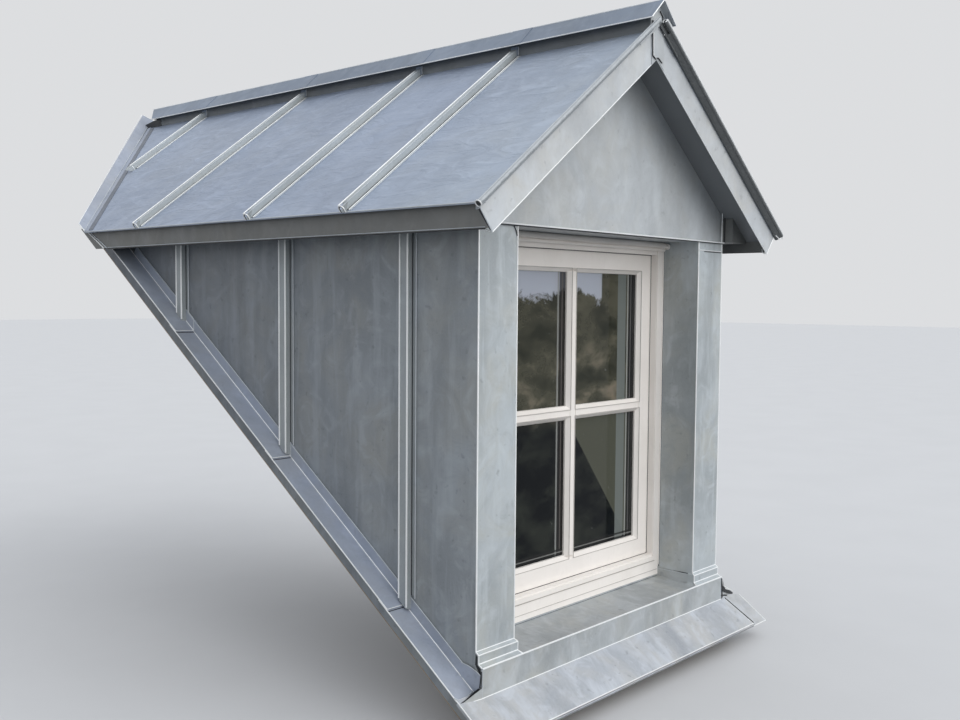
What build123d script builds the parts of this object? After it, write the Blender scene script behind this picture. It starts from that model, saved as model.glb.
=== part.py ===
from build123d import *
from math import cos, radians, sin, tan
import os

# Dormer window clad in folded zinc, standing on a tiled roof of about 35 degrees.
# Millimetres, +Z up, X across the front, Y back into the roof.
# The origin lies on the inclined underside of the front sole, where it sits on the roof's rafters.
# Left is -X, the left hand of someone who faces the window from outside.

# Main roof that the dormer stands on
main_pitch = 35.0
tile_layer = 80.0

# Sheet and timber
zinc = 2.0
board = 18.0
roof_board = 24.0
sole_depth = 60.0
post_timber = 100.0
post_depth = 166.0

# Front: heights are measured from the foot of the fascia
front_width = 990.0
foot_height = 94.0
sill_height = 63.0
sill_nose = 19.0
sill_upstand = 25.0
fascia_lap = 4.0
window_foot = 69.0
frame_head = 1000.0
frame_cover = 18.0
window_setback = 108.0
drip_hem = 6.0

# Dormer roof
roof_pitch = 37.0
eaves_overhang = 98.0
eaves_lip = 16.0
eaves_hem = 4.0
rafter_tail = 6.0
fascia_drip = 23.0
box_front = 32.0
verge_overhang = 98.0
verge_lip = 6.0
barge_drop = 80.0
barge_foot_drop = 78.0
barge_rake = 28.0
barge_ear = 19.0
rafter_drop = 80.0
rafter_seat = 18.0
rafter_width = 50.0
rafter_places = (230.0, 640.0, 1080.0, 1480.0)
ridge_beam_width = 50.0
ridge_beam_drop = 130.0
plate_height = 70.0
lintel_height = 60.0
valley_plate_width = 180.0

# Seams of the cladding
roof_batten_places = (302.0, 645.0, 1146.0, 1680.0)
roof_batten_width = 16.0
roof_batten_height = 16.0
roof_batten_taper = 6.0
roof_batten_foot = 1.0
roof_batten_valley_gap = 31.0
verge_rise = 16.0
verge_lean = 13.0
verge_roll = 4.5
verge_overshoot = 26.0
cheek_batten_places = (203.0, 626.0, 1079.0)
cheek_batten_width = 26.0
cheek_batten_flange = 12.0
cheek_batten_height = 16.0
stud_first = 35.0
stud_spacing = 425.0
ridge_batten_width = 56.0
ridge_cap_width = 100.0
ridge_cap_lift = 4.0
ridge_cap_rise = 48.0
ridge_cap_cut = 56.0
apex_lap_width = 22.0

# Flashings
flashing_wing = 55.0
flashing_upstand = 28.0
flashing_laps = (207.0, 612.0, 1030.0)
flashing_lap = 30.0
apron_lift = 6.0
apron_slope = 101.0
apron_left = 558.0
apron_right = 530.0
apron_end_right = 602.0
apron_tuck = 10.0
valley_wing_low = 32.0
valley_wing_high = 55.0
valley_turn = 13.0

# Collars at the foot of the posts
collar_height = 31.0
collar_band_foot = 6.0
collar_band_head = 25.0
collar_reach = 18.0
collar_proud = 8.0
collar_return = 12.0

# Window
frame_depth = 60.0
frame_face = 35.0
sash_foot_rail = 64.0
sash_head_cover = 53.0
sash_setback = 19.0
sash_depth = 42.0
stile_width = 52.0
foot_rail_width = 56.0
head_rail_width = 54.0
glass_setback = 33.0
moulding = 11.0
glass = 4.0
glass_gap = 16.0
glass_rebate = 6.0
drip_height = 16.0
drip_reach = 20.0

main_tan = tan(radians(main_pitch))
main_cos = cos(radians(main_pitch))
main_sin = sin(radians(main_pitch))
roof_tan = tan(radians(roof_pitch))
roof_cos = cos(radians(roof_pitch))
roof_sin = sin(radians(roof_pitch))
half = front_width / 2
timber_half = half - zinc
frame_half = timber_half - board
inner_half = frame_half - post_timber
reveal_half = inner_half - zinc
sash_half = inner_half - frame_face
light_half = sash_half - stile_width
eaves_reach = half + eaves_overhang
fascia_reach = eaves_reach - eaves_lip
fascia_inner = fascia_reach - zinc
sheet_drop = zinc / roof_cos
board_drop = sheet_drop + roof_board / roof_cos
soffit_drop = board_drop + sheet_drop
pediment_foot = frame_head - frame_cover
ridge_height = frame_head + roof_tan * (frame_half - rafter_seat) + board_drop + rafter_drop
sash_foot = window_foot + sash_foot_rail
sash_head = frame_head - sash_head_cover
light_foot = sash_foot + foot_rail_width
light_head = sash_head - head_rail_width
far_back = 2400.0


def level(height):
    """Height above the foot of the front fascia, turned into Z."""
    return foot_height + height


def main_plane(depth):
    """Plane parallel to the main roof, a depth square above the rafters."""
    return Plane(origin=(0, 0, depth / main_cos), x_dir=(1, 0, 0), z_dir=(0, -main_sin, main_cos))


def main_z(y, depth):
    return y * main_tan + depth / main_cos


def main_y(z, depth):
    return (z - depth / main_cos) / main_tan


def roof_z(x, drop=0.0):
    """Z of the dormer roof's surface at a distance x from the ridge, or a vertical drop under it."""
    return level(ridge_height) - roof_tan * abs(x) - drop


def facing(y):
    """Plane across the dormer at y, with X to the right and Z up; a negative extrusion runs back."""
    return Plane.XZ.offset(-y)


def beside(x):
    """Plane along the dormer at x, with Y to the right and Z up."""
    return Plane.YZ.offset(x)


def left_slope(drop):
    """Plane of the left roof slope, a vertical drop under its surface, facing out."""
    return Plane(origin=(0, 0, roof_z(0, drop)), x_dir=(0, 1, 0), z_dir=(-roof_sin, 0, roof_cos))


def trim(plane, amount):
    """Cut the piece being built back to a plane, on the side that the amount runs to."""
    with BuildSketch(plane) as side:
        Rectangle(4 * far_back, 4 * far_back)
    extrude(side.sketch, amount=amount, mode=Mode.SUBTRACT)


def trim_under(plane):
    trim(plane, -2 * far_back)


def trim_over(plane):
    trim(plane, 2 * far_back)


soffit_top = roof_z(fascia_inner, board_drop + rafter_tail)
soffit_foot = soffit_top - zinc
fascia_foot = soffit_foot - fascia_drip
verge_front = -verge_overhang
gable_back = board
post_back = zinc + post_depth
frame_front = window_setback
frame_back = window_setback + frame_depth
tip_x = eaves_reach - barge_rake
tip_z = roof_z(tip_x, barge_foot_drop)
sheet_edge = eaves_reach - zinc
hem_z = roof_z(eaves_reach, eaves_hem)
lift_count = len(flashing_laps) + 1
top_lift = zinc * lift_count
valley_low = main_y(roof_z(eaves_reach), tile_layer)
valley_high = main_y(roof_z(0), tile_layer)
roof_top_plane = main_plane(tile_layer)
wing_top_plane = main_plane(tile_layer + top_lift)
sole_top_plane = main_plane(sole_depth)
made = {}


def keep(name, builder):
    """Label a finished piece and write it."""
    builder.part.label = name
    made[name] = builder.part
    export_step(builder.part, f"parts/{name}.step")


def keep_pair(name, builder):
    """Write a left piece and its mirror image on the right."""
    keep(name + "_left", builder)
    with BuildPart() as right:
        mirror(builder.part, about=Plane.YZ)
    keep(name + "_right", right)


os.makedirs("parts", exist_ok=True)

# Soles that lie on the rafters of the main roof
with BuildPart() as front_sole:
    nose = zinc - sill_nose
    sill_top = level(sill_height) - zinc
    with BuildSketch(beside(-timber_half)):
        with BuildLine():
            Polyline(
                (nose, main_z(nose, 0)),
                (zinc, main_z(zinc, 0)),
                (zinc, sill_top),
                (nose, sill_top),
                close=True,
            )
        make_face()
    extrude(amount=2 * timber_half)
    with BuildSketch(beside(-inner_half)):
        with BuildLine():
            Polyline(
                (zinc, main_z(zinc, 0)),
                (post_back, main_z(post_back, 0)),
                (post_back, level(window_foot)),
                (frame_front, level(window_foot)),
                (frame_front, level(window_foot) - zinc),
                (collar_return, sill_top),
                (zinc, sill_top),
                close=True,
            )
        make_face()
    extrude(amount=2 * inner_half)
keep("front_sole", front_sole)

sole_end = main_y(roof_z(inner_half, board_drop), sole_depth)
with BuildPart() as side_sole:
    with BuildSketch(beside(-frame_half)):
        with BuildLine():
            Polyline(
                (zinc, main_z(zinc, 0)),
                (sole_end, main_z(sole_end, 0)),
                (sole_end, main_z(sole_end, sole_depth)),
                (zinc, main_z(zinc, sole_depth)),
                close=True,
            )
        make_face()
    extrude(amount=post_timber)
    trim_over(left_slope(board_drop))
keep_pair("side_sole", side_sole)

valley_end = main_y(roof_z(0, board_drop), sole_depth)
with BuildPart() as valley_plate:
    with BuildSketch(main_plane(0)):
        with BuildLine():
            Polyline(
                (-inner_half, (sole_end - valley_plate_width) / main_cos),
                (0, (valley_end - valley_plate_width) / main_cos),
                (0, (valley_end + zinc) / main_cos + board),
                (-inner_half, (sole_end + zinc) / main_cos + board),
                close=True,
            )
        make_face()
    extrude(amount=sole_depth)
keep_pair("valley_plate", valley_plate)

# Timber frame
plate_top = level(frame_head)
plate_foot = plate_top - plate_height
with BuildPart() as corner_post:
    with BuildSketch(beside(-frame_half)):
        with BuildLine():
            Polyline(
                (zinc, main_z(zinc, sole_depth)),
                (post_back, main_z(post_back, sole_depth)),
                (post_back, plate_foot),
                (zinc, plate_foot),
                close=True,
            )
        make_face()
    extrude(amount=post_timber)
keep_pair("corner_post", corner_post)

with BuildPart() as wall_plates:
    plate_end = main_y(plate_foot, sole_depth)
    plate_tip = main_y(plate_top, sole_depth)
    with BuildSketch(beside(-frame_half)):
        with BuildLine():
            Polyline(
                (zinc, plate_foot),
                (plate_end, plate_foot),
                (plate_tip, plate_top),
                (zinc, plate_top),
                close=True,
            )
        make_face()
    extrude(amount=post_timber)
    mirror(about=Plane.YZ)
keep("wall_plates", wall_plates)

with BuildPart() as lintel:
    with BuildSketch(beside(-frame_half)):
        with Locations((gable_back, plate_top)):
            Rectangle(post_back - gable_back, lintel_height, align=(Align.MIN, Align.MIN))
    extrude(amount=2 * frame_half)
keep("lintel", lintel)

with BuildPart() as ridge_beam:
    beam_half = ridge_beam_width / 2
    with BuildSketch(facing(gable_back)):
        with BuildLine():
            Polyline(
                (-beam_half, roof_z(0, board_drop + ridge_beam_drop)),
                (beam_half, roof_z(0, board_drop + ridge_beam_drop)),
                (beam_half, roof_z(beam_half, board_drop)),
                (0, roof_z(0, board_drop)),
                (-beam_half, roof_z(beam_half, board_drop)),
                close=True,
            )
        make_face()
    extrude(amount=-far_back)
    trim_under(sole_top_plane)
keep("ridge_beam", ridge_beam)

# Cheeks: outer boarding with its studs, and the pale lining inside
with BuildPart() as cheek_frame:
    with BuildSketch(beside(-timber_half)):
        with BuildLine():
            Polyline(
                (zinc, main_z(zinc, 0)),
                (main_y(soffit_top, 0), soffit_top),
                (zinc, soffit_top),
                close=True,
            )
        make_face()
    extrude(amount=board)
    for number in range(3):
        place = post_back + stud_first + number * stud_spacing
        with BuildSketch(beside(-frame_half)):
            with BuildLine():
                Polyline(
                    (place - rafter_width / 2, main_z(place - rafter_width / 2, sole_depth)),
                    (place + rafter_width / 2, main_z(place + rafter_width / 2, sole_depth)),
                    (place + rafter_width / 2, plate_foot),
                    (place - rafter_width / 2, plate_foot),
                    close=True,
                )
            make_face()
        extrude(amount=post_timber - board)
keep_pair("cheek_frame", cheek_frame)

with BuildPart() as cheek_lining:
    with BuildSketch(beside(-inner_half - board)):
        with BuildLine():
            Polyline(
                (post_back, main_z(post_back, sole_depth)),
                (plate_end, plate_foot),
                (post_back, plate_foot),
                close=True,
            )
        make_face()
    extrude(amount=board)
keep_pair("cheek_lining", cheek_lining)

# Roof: boarding, rafters and the gable's boarding
with BuildPart() as roof_boards:
    with BuildSketch(facing(verge_front + zinc)):
        with BuildLine():
            Polyline(
                (0, roof_z(0, sheet_drop)),
                (-fascia_inner, roof_z(fascia_inner, sheet_drop)),
                (-fascia_inner, roof_z(fascia_inner, board_drop)),
                (0, roof_z(0, board_drop)),
                close=True,
            )
        make_face()
    extrude(amount=-far_back)
    trim_under(sole_top_plane)
keep_pair("roof_boards", roof_boards)

with BuildPart() as rafters:
    notch_x = frame_half - rafter_seat
    for place in rafter_places:
        with BuildSketch(facing(place - rafter_width / 2)):
            with BuildLine():
                Polyline(
                    (-beam_half, roof_z(beam_half, board_drop)),
                    (-fascia_inner, roof_z(fascia_inner, board_drop)),
                    (-fascia_inner, soffit_top),
                    (-frame_half, soffit_top),
                    (-frame_half, plate_top),
                    (-notch_x, plate_top),
                    (-beam_half, roof_z(beam_half, board_drop + rafter_drop)),
                    close=True,
                )
            make_face()
        extrude(amount=-rafter_width)
    trim_under(sole_top_plane)
    mirror(about=Plane.YZ)
keep("rafters", rafters)

with BuildPart() as gable_boards:
    with BuildSketch(facing(0)):
        with BuildLine():
            Polyline(
                (-timber_half, plate_top),
                (timber_half, plate_top),
                (timber_half, roof_z(timber_half, board_drop)),
                (0, roof_z(0, board_drop)),
                (-timber_half, roof_z(timber_half, board_drop)),
                close=True,
            )
        make_face()
    extrude(amount=-gable_back)
keep("gable_boards", gable_boards)

# Zinc of the cheeks, carried down beside the sole
cheek_foot = 2 * zinc
with BuildPart() as cheek_zinc:
    with BuildSketch(beside(-half)):
        with BuildLine():
            Polyline(
                (zinc, main_z(zinc, cheek_foot)),
                (main_y(soffit_foot, cheek_foot), soffit_foot),
                (zinc, soffit_foot),
                close=True,
            )
        make_face()
    extrude(amount=zinc)
keep_pair("cheek_zinc", cheek_zinc)

# The ribs run down over the upstand of the flashing, their flanges stop above it
with BuildPart() as cheek_battens:
    rib = cheek_batten_width / 2
    low = cheek_batten_places[0] - rib - cheek_batten_flange
    for place in cheek_batten_places:
        with BuildSketch(Plane.XY.offset(main_z(low, tile_layer))):
            with Locations((-half - zinc, place)):
                Rectangle(zinc, cheek_batten_width + 2 * cheek_batten_flange, align=(Align.MIN, Align.CENTER))
        extrude(amount=soffit_foot - main_z(low, tile_layer))
    trim_under(main_plane(tile_layer + flashing_upstand + top_lift))
    for place in cheek_batten_places:
        with BuildSketch(Plane.XY.offset(main_z(low, tile_layer))):
            with BuildLine():
                Polyline(
                    (-half - zinc, place - rib),
                    (-half - cheek_batten_height, place - rib + zinc),
                    (-half - cheek_batten_height, place + rib - zinc),
                    (-half - zinc, place + rib),
                    close=True,
                )
            make_face()
        extrude(amount=soffit_foot - main_z(low, tile_layer))
    trim_under(wing_top_plane)
keep_pair("cheek_battens", cheek_battens)

# Zinc of the posts, with the collar at the foot: a flare on the sill, an upright band and a sloped head
with BuildPart() as post_cladding:
    collar_foot = level(sill_height)
    with BuildSketch(Plane.XY.offset(collar_foot)):
        with Locations((-half, 0)):
            Rectangle(half - reveal_half, zinc, align=(Align.MIN, Align.MIN))
    extrude(amount=plate_top - collar_foot)
    with BuildSketch(Plane.XY.offset(level(window_foot))):
        with Locations((-inner_half, zinc)):
            Rectangle(zinc, frame_front - zinc, align=(Align.MIN, Align.MIN))
    extrude(amount=level(pediment_foot) - level(window_foot))
    levels = (0, collar_band_foot, collar_band_head, collar_height)
    reaches = (collar_reach, collar_proud, collar_proud, 1)
    for step in range(3):
        for height, reach in zip(levels[step:step + 2], reaches[step:step + 2]):
            with BuildSketch(Plane.XY.offset(collar_foot + height)):
                with BuildLine():
                    Polyline(
                        (-half, 0),
                        (-half, -reach),
                        (-reveal_half + reach / 2, -reach),
                        (-reveal_half + reach / 2, collar_return),
                        (-reveal_half, collar_return),
                        (-reveal_half, 0),
                        close=True,
                    )
                make_face()
        loft()
keep_pair("post_cladding", post_cladding)

# Sill with its fascia, folded ends and the upstands along the reveals
with BuildPart() as sill_cover:
    sill_under = level(sill_height) - zinc
    with BuildSketch(beside(-half)):
        with BuildLine():
            Polyline(
                (-sill_nose, level(0) - fascia_lap),
                (-sill_nose + zinc, level(0) - fascia_lap),
                (-sill_nose + zinc, sill_under),
                (0, sill_under),
                (0, level(sill_height)),
                (-sill_nose, level(sill_height)),
                close=True,
            )
        make_face()
    extrude(amount=2 * half)
    with BuildSketch(Plane.XY.offset(level(0))):
        with Locations((-half, -sill_nose), (timber_half, -sill_nose)):
            Rectangle(zinc, sill_nose + zinc, align=(Align.MIN, Align.MIN))
    extrude(amount=sill_height - zinc)
    with BuildSketch(beside(-reveal_half)):
        with BuildLine():
            Polyline(
                (0, sill_under),
                (collar_return, sill_under),
                (frame_front, level(window_foot) - zinc),
                (frame_front, level(window_foot) + 2 * zinc),
                (frame_front - zinc, level(window_foot) + 2 * zinc),
                (frame_front - zinc, level(window_foot)),
                (collar_return, level(sill_height)),
                (0, level(sill_height)),
                close=True,
            )
        make_face()
    extrude(amount=2 * reveal_half)
    for side in (-reveal_half, reveal_half - zinc):
        with BuildSketch(beside(side)):
            with BuildLine():
                Polyline(
                    (collar_return, level(sill_height)),
                    (frame_front, level(window_foot) - zinc),
                    (frame_front, level(window_foot) + sill_upstand),
                    (collar_return, level(sill_height) + sill_upstand),
                    close=True,
                )
            make_face()
        extrude(amount=zinc)
keep("sill_cover", sill_cover)

# Apron in front of the fascia, its edges folded down to the tiles, and the strip tucked under its right end
with BuildPart() as apron:
    apron_top = -sill_nose / main_cos
    apron_low = apron_top - apron_slope
    corner_back = -2 * zinc / main_cos
    with BuildSketch(main_plane(tile_layer + apron_lift)):
        with BuildLine():
            Polyline(
                (-half - zinc, apron_top),
                (half + sill_nose, apron_top),
                (apron_right, apron_low),
                (-apron_left, apron_low),
                (-apron_left, corner_back),
                (-half - zinc, corner_back),
                close=True,
            )
        make_face()
    extrude(amount=zinc)
    with BuildSketch(main_plane(tile_layer)):
        with Locations((-apron_left, apron_low)):
            Rectangle(apron_left + apron_right, zinc, align=(Align.MIN, Align.MIN))
        with Locations((-apron_left, apron_low)):
            Rectangle(zinc, corner_back - apron_low, align=(Align.MIN, Align.MIN))
    extrude(amount=apron_lift + zinc)
    with BuildSketch(main_plane(tile_layer)):
        with BuildLine():
            Polyline(
                (half + sill_nose - apron_tuck, apron_top),
                (apron_right - apron_tuck, apron_low + 2 * zinc),
                (apron_right, apron_low + 2 * zinc),
                (apron_end_right, apron_low),
                (apron_end_right, apron_top),
                (half + flashing_wing, corner_back),
                (half + sill_nose, corner_back),
                (half + sill_nose, apron_top),
                close=True,
            )
        make_face()
    extrude(amount=zinc)
    with BuildSketch(main_plane(tile_layer)):
        with BuildLine():
            Polyline(
                (half + sill_nose - apron_tuck, apron_top),
                (apron_right - apron_tuck, apron_low + 2 * zinc),
                (apron_right - apron_tuck + zinc, apron_low + 2 * zinc),
                (half + sill_nose - apron_tuck + zinc, apron_top),
                close=True,
            )
        make_face()
    extrude(amount=apron_lift)
keep("apron", apron)

# Flashings along the cheeks, in lapped lengths
with BuildPart() as side_flashing:
    upstand_end = main_y(soffit_foot, tile_layer + flashing_upstand + top_lift)
    wing_end = main_y(roof_z(half + flashing_wing + zinc, board_drop), tile_layer + top_lift)
    starts = [0] + list(flashing_laps)
    for index in range(lift_count):
        lift = index * zinc
        start = starts[index] / main_cos
        last = index == lift_count - 1
        wing_finish = wing_end / main_cos if last else starts[index + 1] / main_cos + flashing_lap
        upstand_finish = upstand_end / main_cos if last else wing_finish
        with BuildSketch(main_plane(tile_layer + lift)):
            with Locations((-half - flashing_wing - zinc, start)):
                Rectangle(flashing_wing, wing_finish - start, align=(Align.MIN, Align.MIN))
        extrude(amount=zinc)
        with BuildSketch(main_plane(tile_layer + lift)):
            with Locations((-half - zinc, start)):
                Rectangle(zinc, upstand_finish - start, align=(Align.MIN, Align.MIN))
        extrude(amount=flashing_upstand)
keep_pair("side_flashing", side_flashing)

# Pediment with its drip edge and the soffit over the window
with BuildPart() as pediment:
    with BuildSketch(facing(-zinc)):
        with BuildLine():
            Polyline(
                (-half, level(pediment_foot)),
                (half, level(pediment_foot)),
                (half, roof_z(half, soffit_drop)),
                (0, roof_z(0, soffit_drop)),
                (-half, roof_z(half, soffit_drop)),
                close=True,
            )
        make_face()
    extrude(amount=-zinc)
    with BuildSketch(beside(-half)):
        with Locations((-zinc, level(pediment_foot))):
            Rectangle(drip_hem, zinc, align=(Align.MAX, Align.MIN))
    extrude(amount=2 * half)
    with BuildSketch(beside(-reveal_half)):
        with Locations((-zinc, level(pediment_foot))):
            Rectangle(frame_front + zinc, zinc, align=(Align.MIN, Align.MIN))
    extrude(amount=2 * reveal_half)
keep("pediment", pediment)

# Eaves: fascia, soffit behind it and the closed front end of the box
with BuildPart() as fascia_leaf:
    with BuildSketch(facing(verge_front + zinc)):
        with BuildLine():
            Polyline(
                (-fascia_reach, fascia_foot),
                (-fascia_inner, fascia_foot),
                (-fascia_inner, roof_z(fascia_inner, sheet_drop)),
                (-fascia_reach, roof_z(fascia_reach, sheet_drop)),
                close=True,
            )
        make_face()
    extrude(amount=-far_back)
    trim_under(sole_top_plane)
    with BuildSketch(roof_top_plane):
        with Locations((0, valley_low / main_cos)):
            Rectangle(4 * far_back, far_back, align=(Align.CENTER, Align.MIN))
    extrude(amount=far_back, mode=Mode.SUBTRACT)

with BuildPart() as eaves_fascia:
    with BuildSketch(facing(-box_front)):
        with Locations((-fascia_inner, soffit_foot)):
            Rectangle(fascia_inner - half, zinc, align=(Align.MIN, Align.MIN))
    extrude(amount=-far_back)
    with BuildSketch(facing(-box_front)):
        with BuildLine():
            Polyline(
                (-fascia_inner, soffit_foot),
                (-half, soffit_foot),
                (-half, roof_z(half, soffit_drop)),
                (-fascia_inner, roof_z(fascia_inner, soffit_drop)),
                close=True,
            )
        make_face()
    extrude(amount=-zinc)
    with BuildSketch(beside(-half - zinc)):
        with Locations((-box_front, soffit_foot)):
            Rectangle(box_front, roof_z(half + zinc, soffit_drop) - soffit_foot, align=(Align.MIN, Align.MIN))
    extrude(amount=zinc)
    trim_under(wing_top_plane)
    add(fascia_leaf.part)
keep_pair("eaves_fascia", eaves_fascia)

# Bargeboards: a hanging front leaf with an ear past the eaves, folded back as the soffit of the verge
with BuildPart() as bargeboard:
    with BuildSketch(facing(verge_front)):
        with BuildLine():
            Polyline(
                (0, roof_z(0, sheet_drop)),
                (-sheet_edge, roof_z(sheet_edge, sheet_drop)),
                (-sheet_edge, hem_z),
                (-eaves_reach, hem_z),
                (-eaves_reach, roof_z(eaves_reach)),
                (-eaves_reach - barge_ear, roof_z(eaves_reach)),
                (-tip_x, tip_z),
                (0, roof_z(0, barge_drop)),
                close=True,
            )
        make_face()
    extrude(amount=-zinc)
    with BuildSketch(facing(verge_front + zinc)):
        with BuildLine():
            Polyline(
                (0, roof_z(0, board_drop)),
                (-fascia_inner, roof_z(fascia_inner, board_drop)),
                (-fascia_inner, roof_z(fascia_inner, soffit_drop)),
                (0, roof_z(0, soffit_drop)),
                close=True,
            )
        make_face()
    extrude(amount=verge_front + 2 * zinc)
keep_pair("bargeboard", bargeboard)

# Roof covering, hemmed at the eaves and rolled at the verge
sheet_front = verge_front - verge_lip
batten_half = ridge_batten_width / 2
with BuildPart() as roof_sheets:
    with BuildSketch(facing(sheet_front)):
        with BuildLine():
            Polyline(
                (0, roof_z(0)),
                (-eaves_reach, roof_z(eaves_reach)),
                (-eaves_reach, hem_z),
                (-sheet_edge, hem_z),
                (-sheet_edge, roof_z(sheet_edge, sheet_drop)),
                (0, roof_z(0, sheet_drop)),
                close=True,
            )
        make_face()
    extrude(amount=-far_back)
    trim_under(roof_top_plane)
    with BuildSketch(Plane.XY.offset(roof_z(eaves_reach))):
        with Locations((-batten_half, sheet_front)):
            Rectangle(batten_half, verge_lip, align=(Align.MIN, Align.MIN))
    extrude(amount=eaves_reach, mode=Mode.SUBTRACT)
    roll_reach = eaves_reach + verge_overshoot * roof_cos
    roll_foot = Plane(
        origin=(-roll_reach, 0, roof_z(roll_reach)),
        x_dir=(0, 1, 0),
        z_dir=(roof_cos, 0, roof_sin),
    )
    with BuildSketch(roll_foot):
        with BuildLine():
            Polyline(
                (sheet_front, -zinc),
                (sheet_front + 3 * zinc, -zinc),
                (sheet_front + 3 * zinc, 0),
                (sheet_front - verge_lean + 2 * verge_roll, verge_rise),
                (sheet_front - verge_lean, verge_rise - verge_roll),
                close=True,
            )
        make_face()
        with Locations((sheet_front - verge_lean + verge_roll, verge_rise - verge_roll)):
            Circle(verge_roll)
    extrude(amount=(roll_reach - batten_half) / roof_cos - zinc)
keep_pair("roof_sheets", roof_sheets)

batten_foot = eaves_reach + roof_batten_foot
batten_shoulder = batten_foot - roof_batten_taper
batten_rise = -roof_batten_height / roof_cos
with BuildPart() as roof_battens:
    for place in roof_batten_places:
        with BuildSketch(facing(place - roof_batten_width / 2)):
            with BuildLine():
                Polyline(
                    (-batten_half, roof_z(batten_half)),
                    (-batten_foot, roof_z(batten_foot)),
                    (-batten_shoulder, roof_z(batten_shoulder, batten_rise)),
                    (-batten_half, roof_z(batten_half, batten_rise)),
                    close=True,
                )
            make_face()
        extrude(amount=-roof_batten_width)
    trim_under(main_plane(tile_layer + valley_turn + roof_batten_valley_gap))
keep_pair("roof_battens", roof_battens)

# Ridge
cap_half = ridge_cap_width / 2
cap_edge = level(ridge_height) + ridge_cap_lift
cap_top = cap_edge + ridge_cap_rise
cap_slope = ridge_cap_rise / cap_half
cap_drop = zinc * (1 + cap_slope**2) ** 0.5
cap_front = sheet_front - verge_lean
cap_end_plane = main_plane(tile_layer + ridge_cap_cut)
with BuildPart() as ridge_batten:
    batten_edge = cap_top - cap_slope * batten_half - cap_drop
    with BuildSketch(facing(verge_front)):
        with BuildLine():
            Polyline(
                (0, roof_z(0)),
                (batten_half, roof_z(batten_half)),
                (batten_half, batten_edge),
                (0, cap_top - cap_drop),
                (-batten_half, batten_edge),
                (-batten_half, roof_z(batten_half)),
                close=True,
            )
        make_face()
    extrude(amount=-far_back)
    trim_under(cap_end_plane)
keep("ridge_batten", ridge_batten)

with BuildPart() as ridge_cap:
    with BuildSketch(facing(cap_front)):
        with BuildLine():
            Polyline(
                (0, cap_top),
                (cap_half, cap_edge),
                (cap_half, cap_edge - cap_drop),
                (0, cap_top - cap_drop),
                (-cap_half, cap_edge - cap_drop),
                (-cap_half, cap_edge),
                close=True,
            )
        make_face()
    extrude(amount=-far_back)
    trim_under(cap_end_plane)
keep("ridge_cap", ridge_cap)

# Cover over the apex, lapped on the left bargeboard and closing the front of the ridge
with BuildPart() as apex_cover:
    with BuildSketch(facing(verge_front - zinc)):
        with BuildLine():
            Polyline(
                (0, roof_z(0, barge_drop)),
                (batten_half, roof_z(batten_half, barge_drop)),
                (batten_half, batten_edge),
                (0, cap_top - cap_drop),
                (-batten_half, batten_edge),
                (-batten_half, roof_z(batten_half, sheet_drop)),
                (-apex_lap_width, roof_z(apex_lap_width, sheet_drop)),
                (-apex_lap_width, roof_z(apex_lap_width, barge_drop)),
                close=True,
            )
        make_face()
    extrude(amount=-zinc)
keep("apex_cover", apex_cover)

# Valley flashings: a narrow turn on the dormer roof and a widening wing on the main roof
with BuildPart() as valley_flashing:
    with BuildSketch(facing(0)):
        with BuildLine():
            Polyline(
                (0, roof_z(0)),
                (-eaves_reach, roof_z(eaves_reach)),
                (-eaves_reach, roof_z(eaves_reach, -sheet_drop)),
                (0, roof_z(0, -sheet_drop)),
                close=True,
            )
        make_face()
    extrude(amount=-far_back)
    trim_over(main_plane(tile_layer + valley_turn))
    trim_under(roof_top_plane)
    with BuildSketch(roof_top_plane):
        with BuildLine():
            Polyline(
                (-eaves_reach, valley_low / main_cos),
                (0, valley_high / main_cos),
                (0, (valley_high + valley_wing_high) / main_cos),
                (-eaves_reach, (valley_low + valley_wing_low) / main_cos),
                close=True,
            )
        make_face()
    extrude(amount=zinc)
keep_pair("valley_flashing", valley_flashing)

# Window
with BuildPart() as window_frame:
    with BuildSketch(facing(frame_front)):
        with Locations((0, level(window_foot))):
            Rectangle(2 * inner_half, frame_head - window_foot, align=(Align.CENTER, Align.MIN))
        with Locations((0, level(sash_foot))):
            Rectangle(2 * sash_half, sash_head - sash_foot, align=(Align.CENTER, Align.MIN), mode=Mode.SUBTRACT)
    extrude(amount=-frame_depth)
    with BuildSketch(beside(-reveal_half)):
        with BuildLine():
            drip_foot = level(pediment_foot) - drip_height
            drip_top = level(pediment_foot)
            Polyline(
                (frame_front, drip_top),
                (frame_front, drip_foot),
                (frame_front - drip_reach, drip_foot),
            )
            ThreePointArc(
                (frame_front - drip_reach, drip_foot),
                (frame_front - drip_reach * 0.8, drip_foot + drip_height * 0.45),
                (frame_front, drip_top),
            )
        make_face()
    extrude(amount=2 * reveal_half)
keep("window_frame", window_frame)

with BuildPart() as casement:
    sash_front = frame_front + sash_setback
    glass_front = frame_front + glass_setback
    with BuildSketch(facing(sash_front)):
        with Locations((0, level(sash_foot))):
            Rectangle(2 * sash_half, sash_head - sash_foot, align=(Align.CENTER, Align.MIN))
    extrude(amount=-sash_depth)
    with BuildSketch(facing(sash_front)):
        with Locations((0, level(light_foot))):
            Rectangle(2 * light_half, light_head - light_foot, align=(Align.CENTER, Align.MIN))
    extrude(amount=-sash_depth, mode=Mode.SUBTRACT)
    with BuildSketch(facing(glass_front)):
        with Locations((0, level(light_foot) - glass_rebate)):
            Rectangle(
                2 * (light_half + glass_rebate),
                light_head - light_foot + 2 * glass_rebate,
                align=(Align.CENTER, Align.MIN),
            )
    extrude(amount=-(sash_depth - glass_setback + sash_setback), mode=Mode.SUBTRACT)
    front_edges = casement.faces().sort_by(Axis.Y)[0].inner_wires()[0].edges()
    chamfer(front_edges, moulding)
keep("casement", casement)

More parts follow.
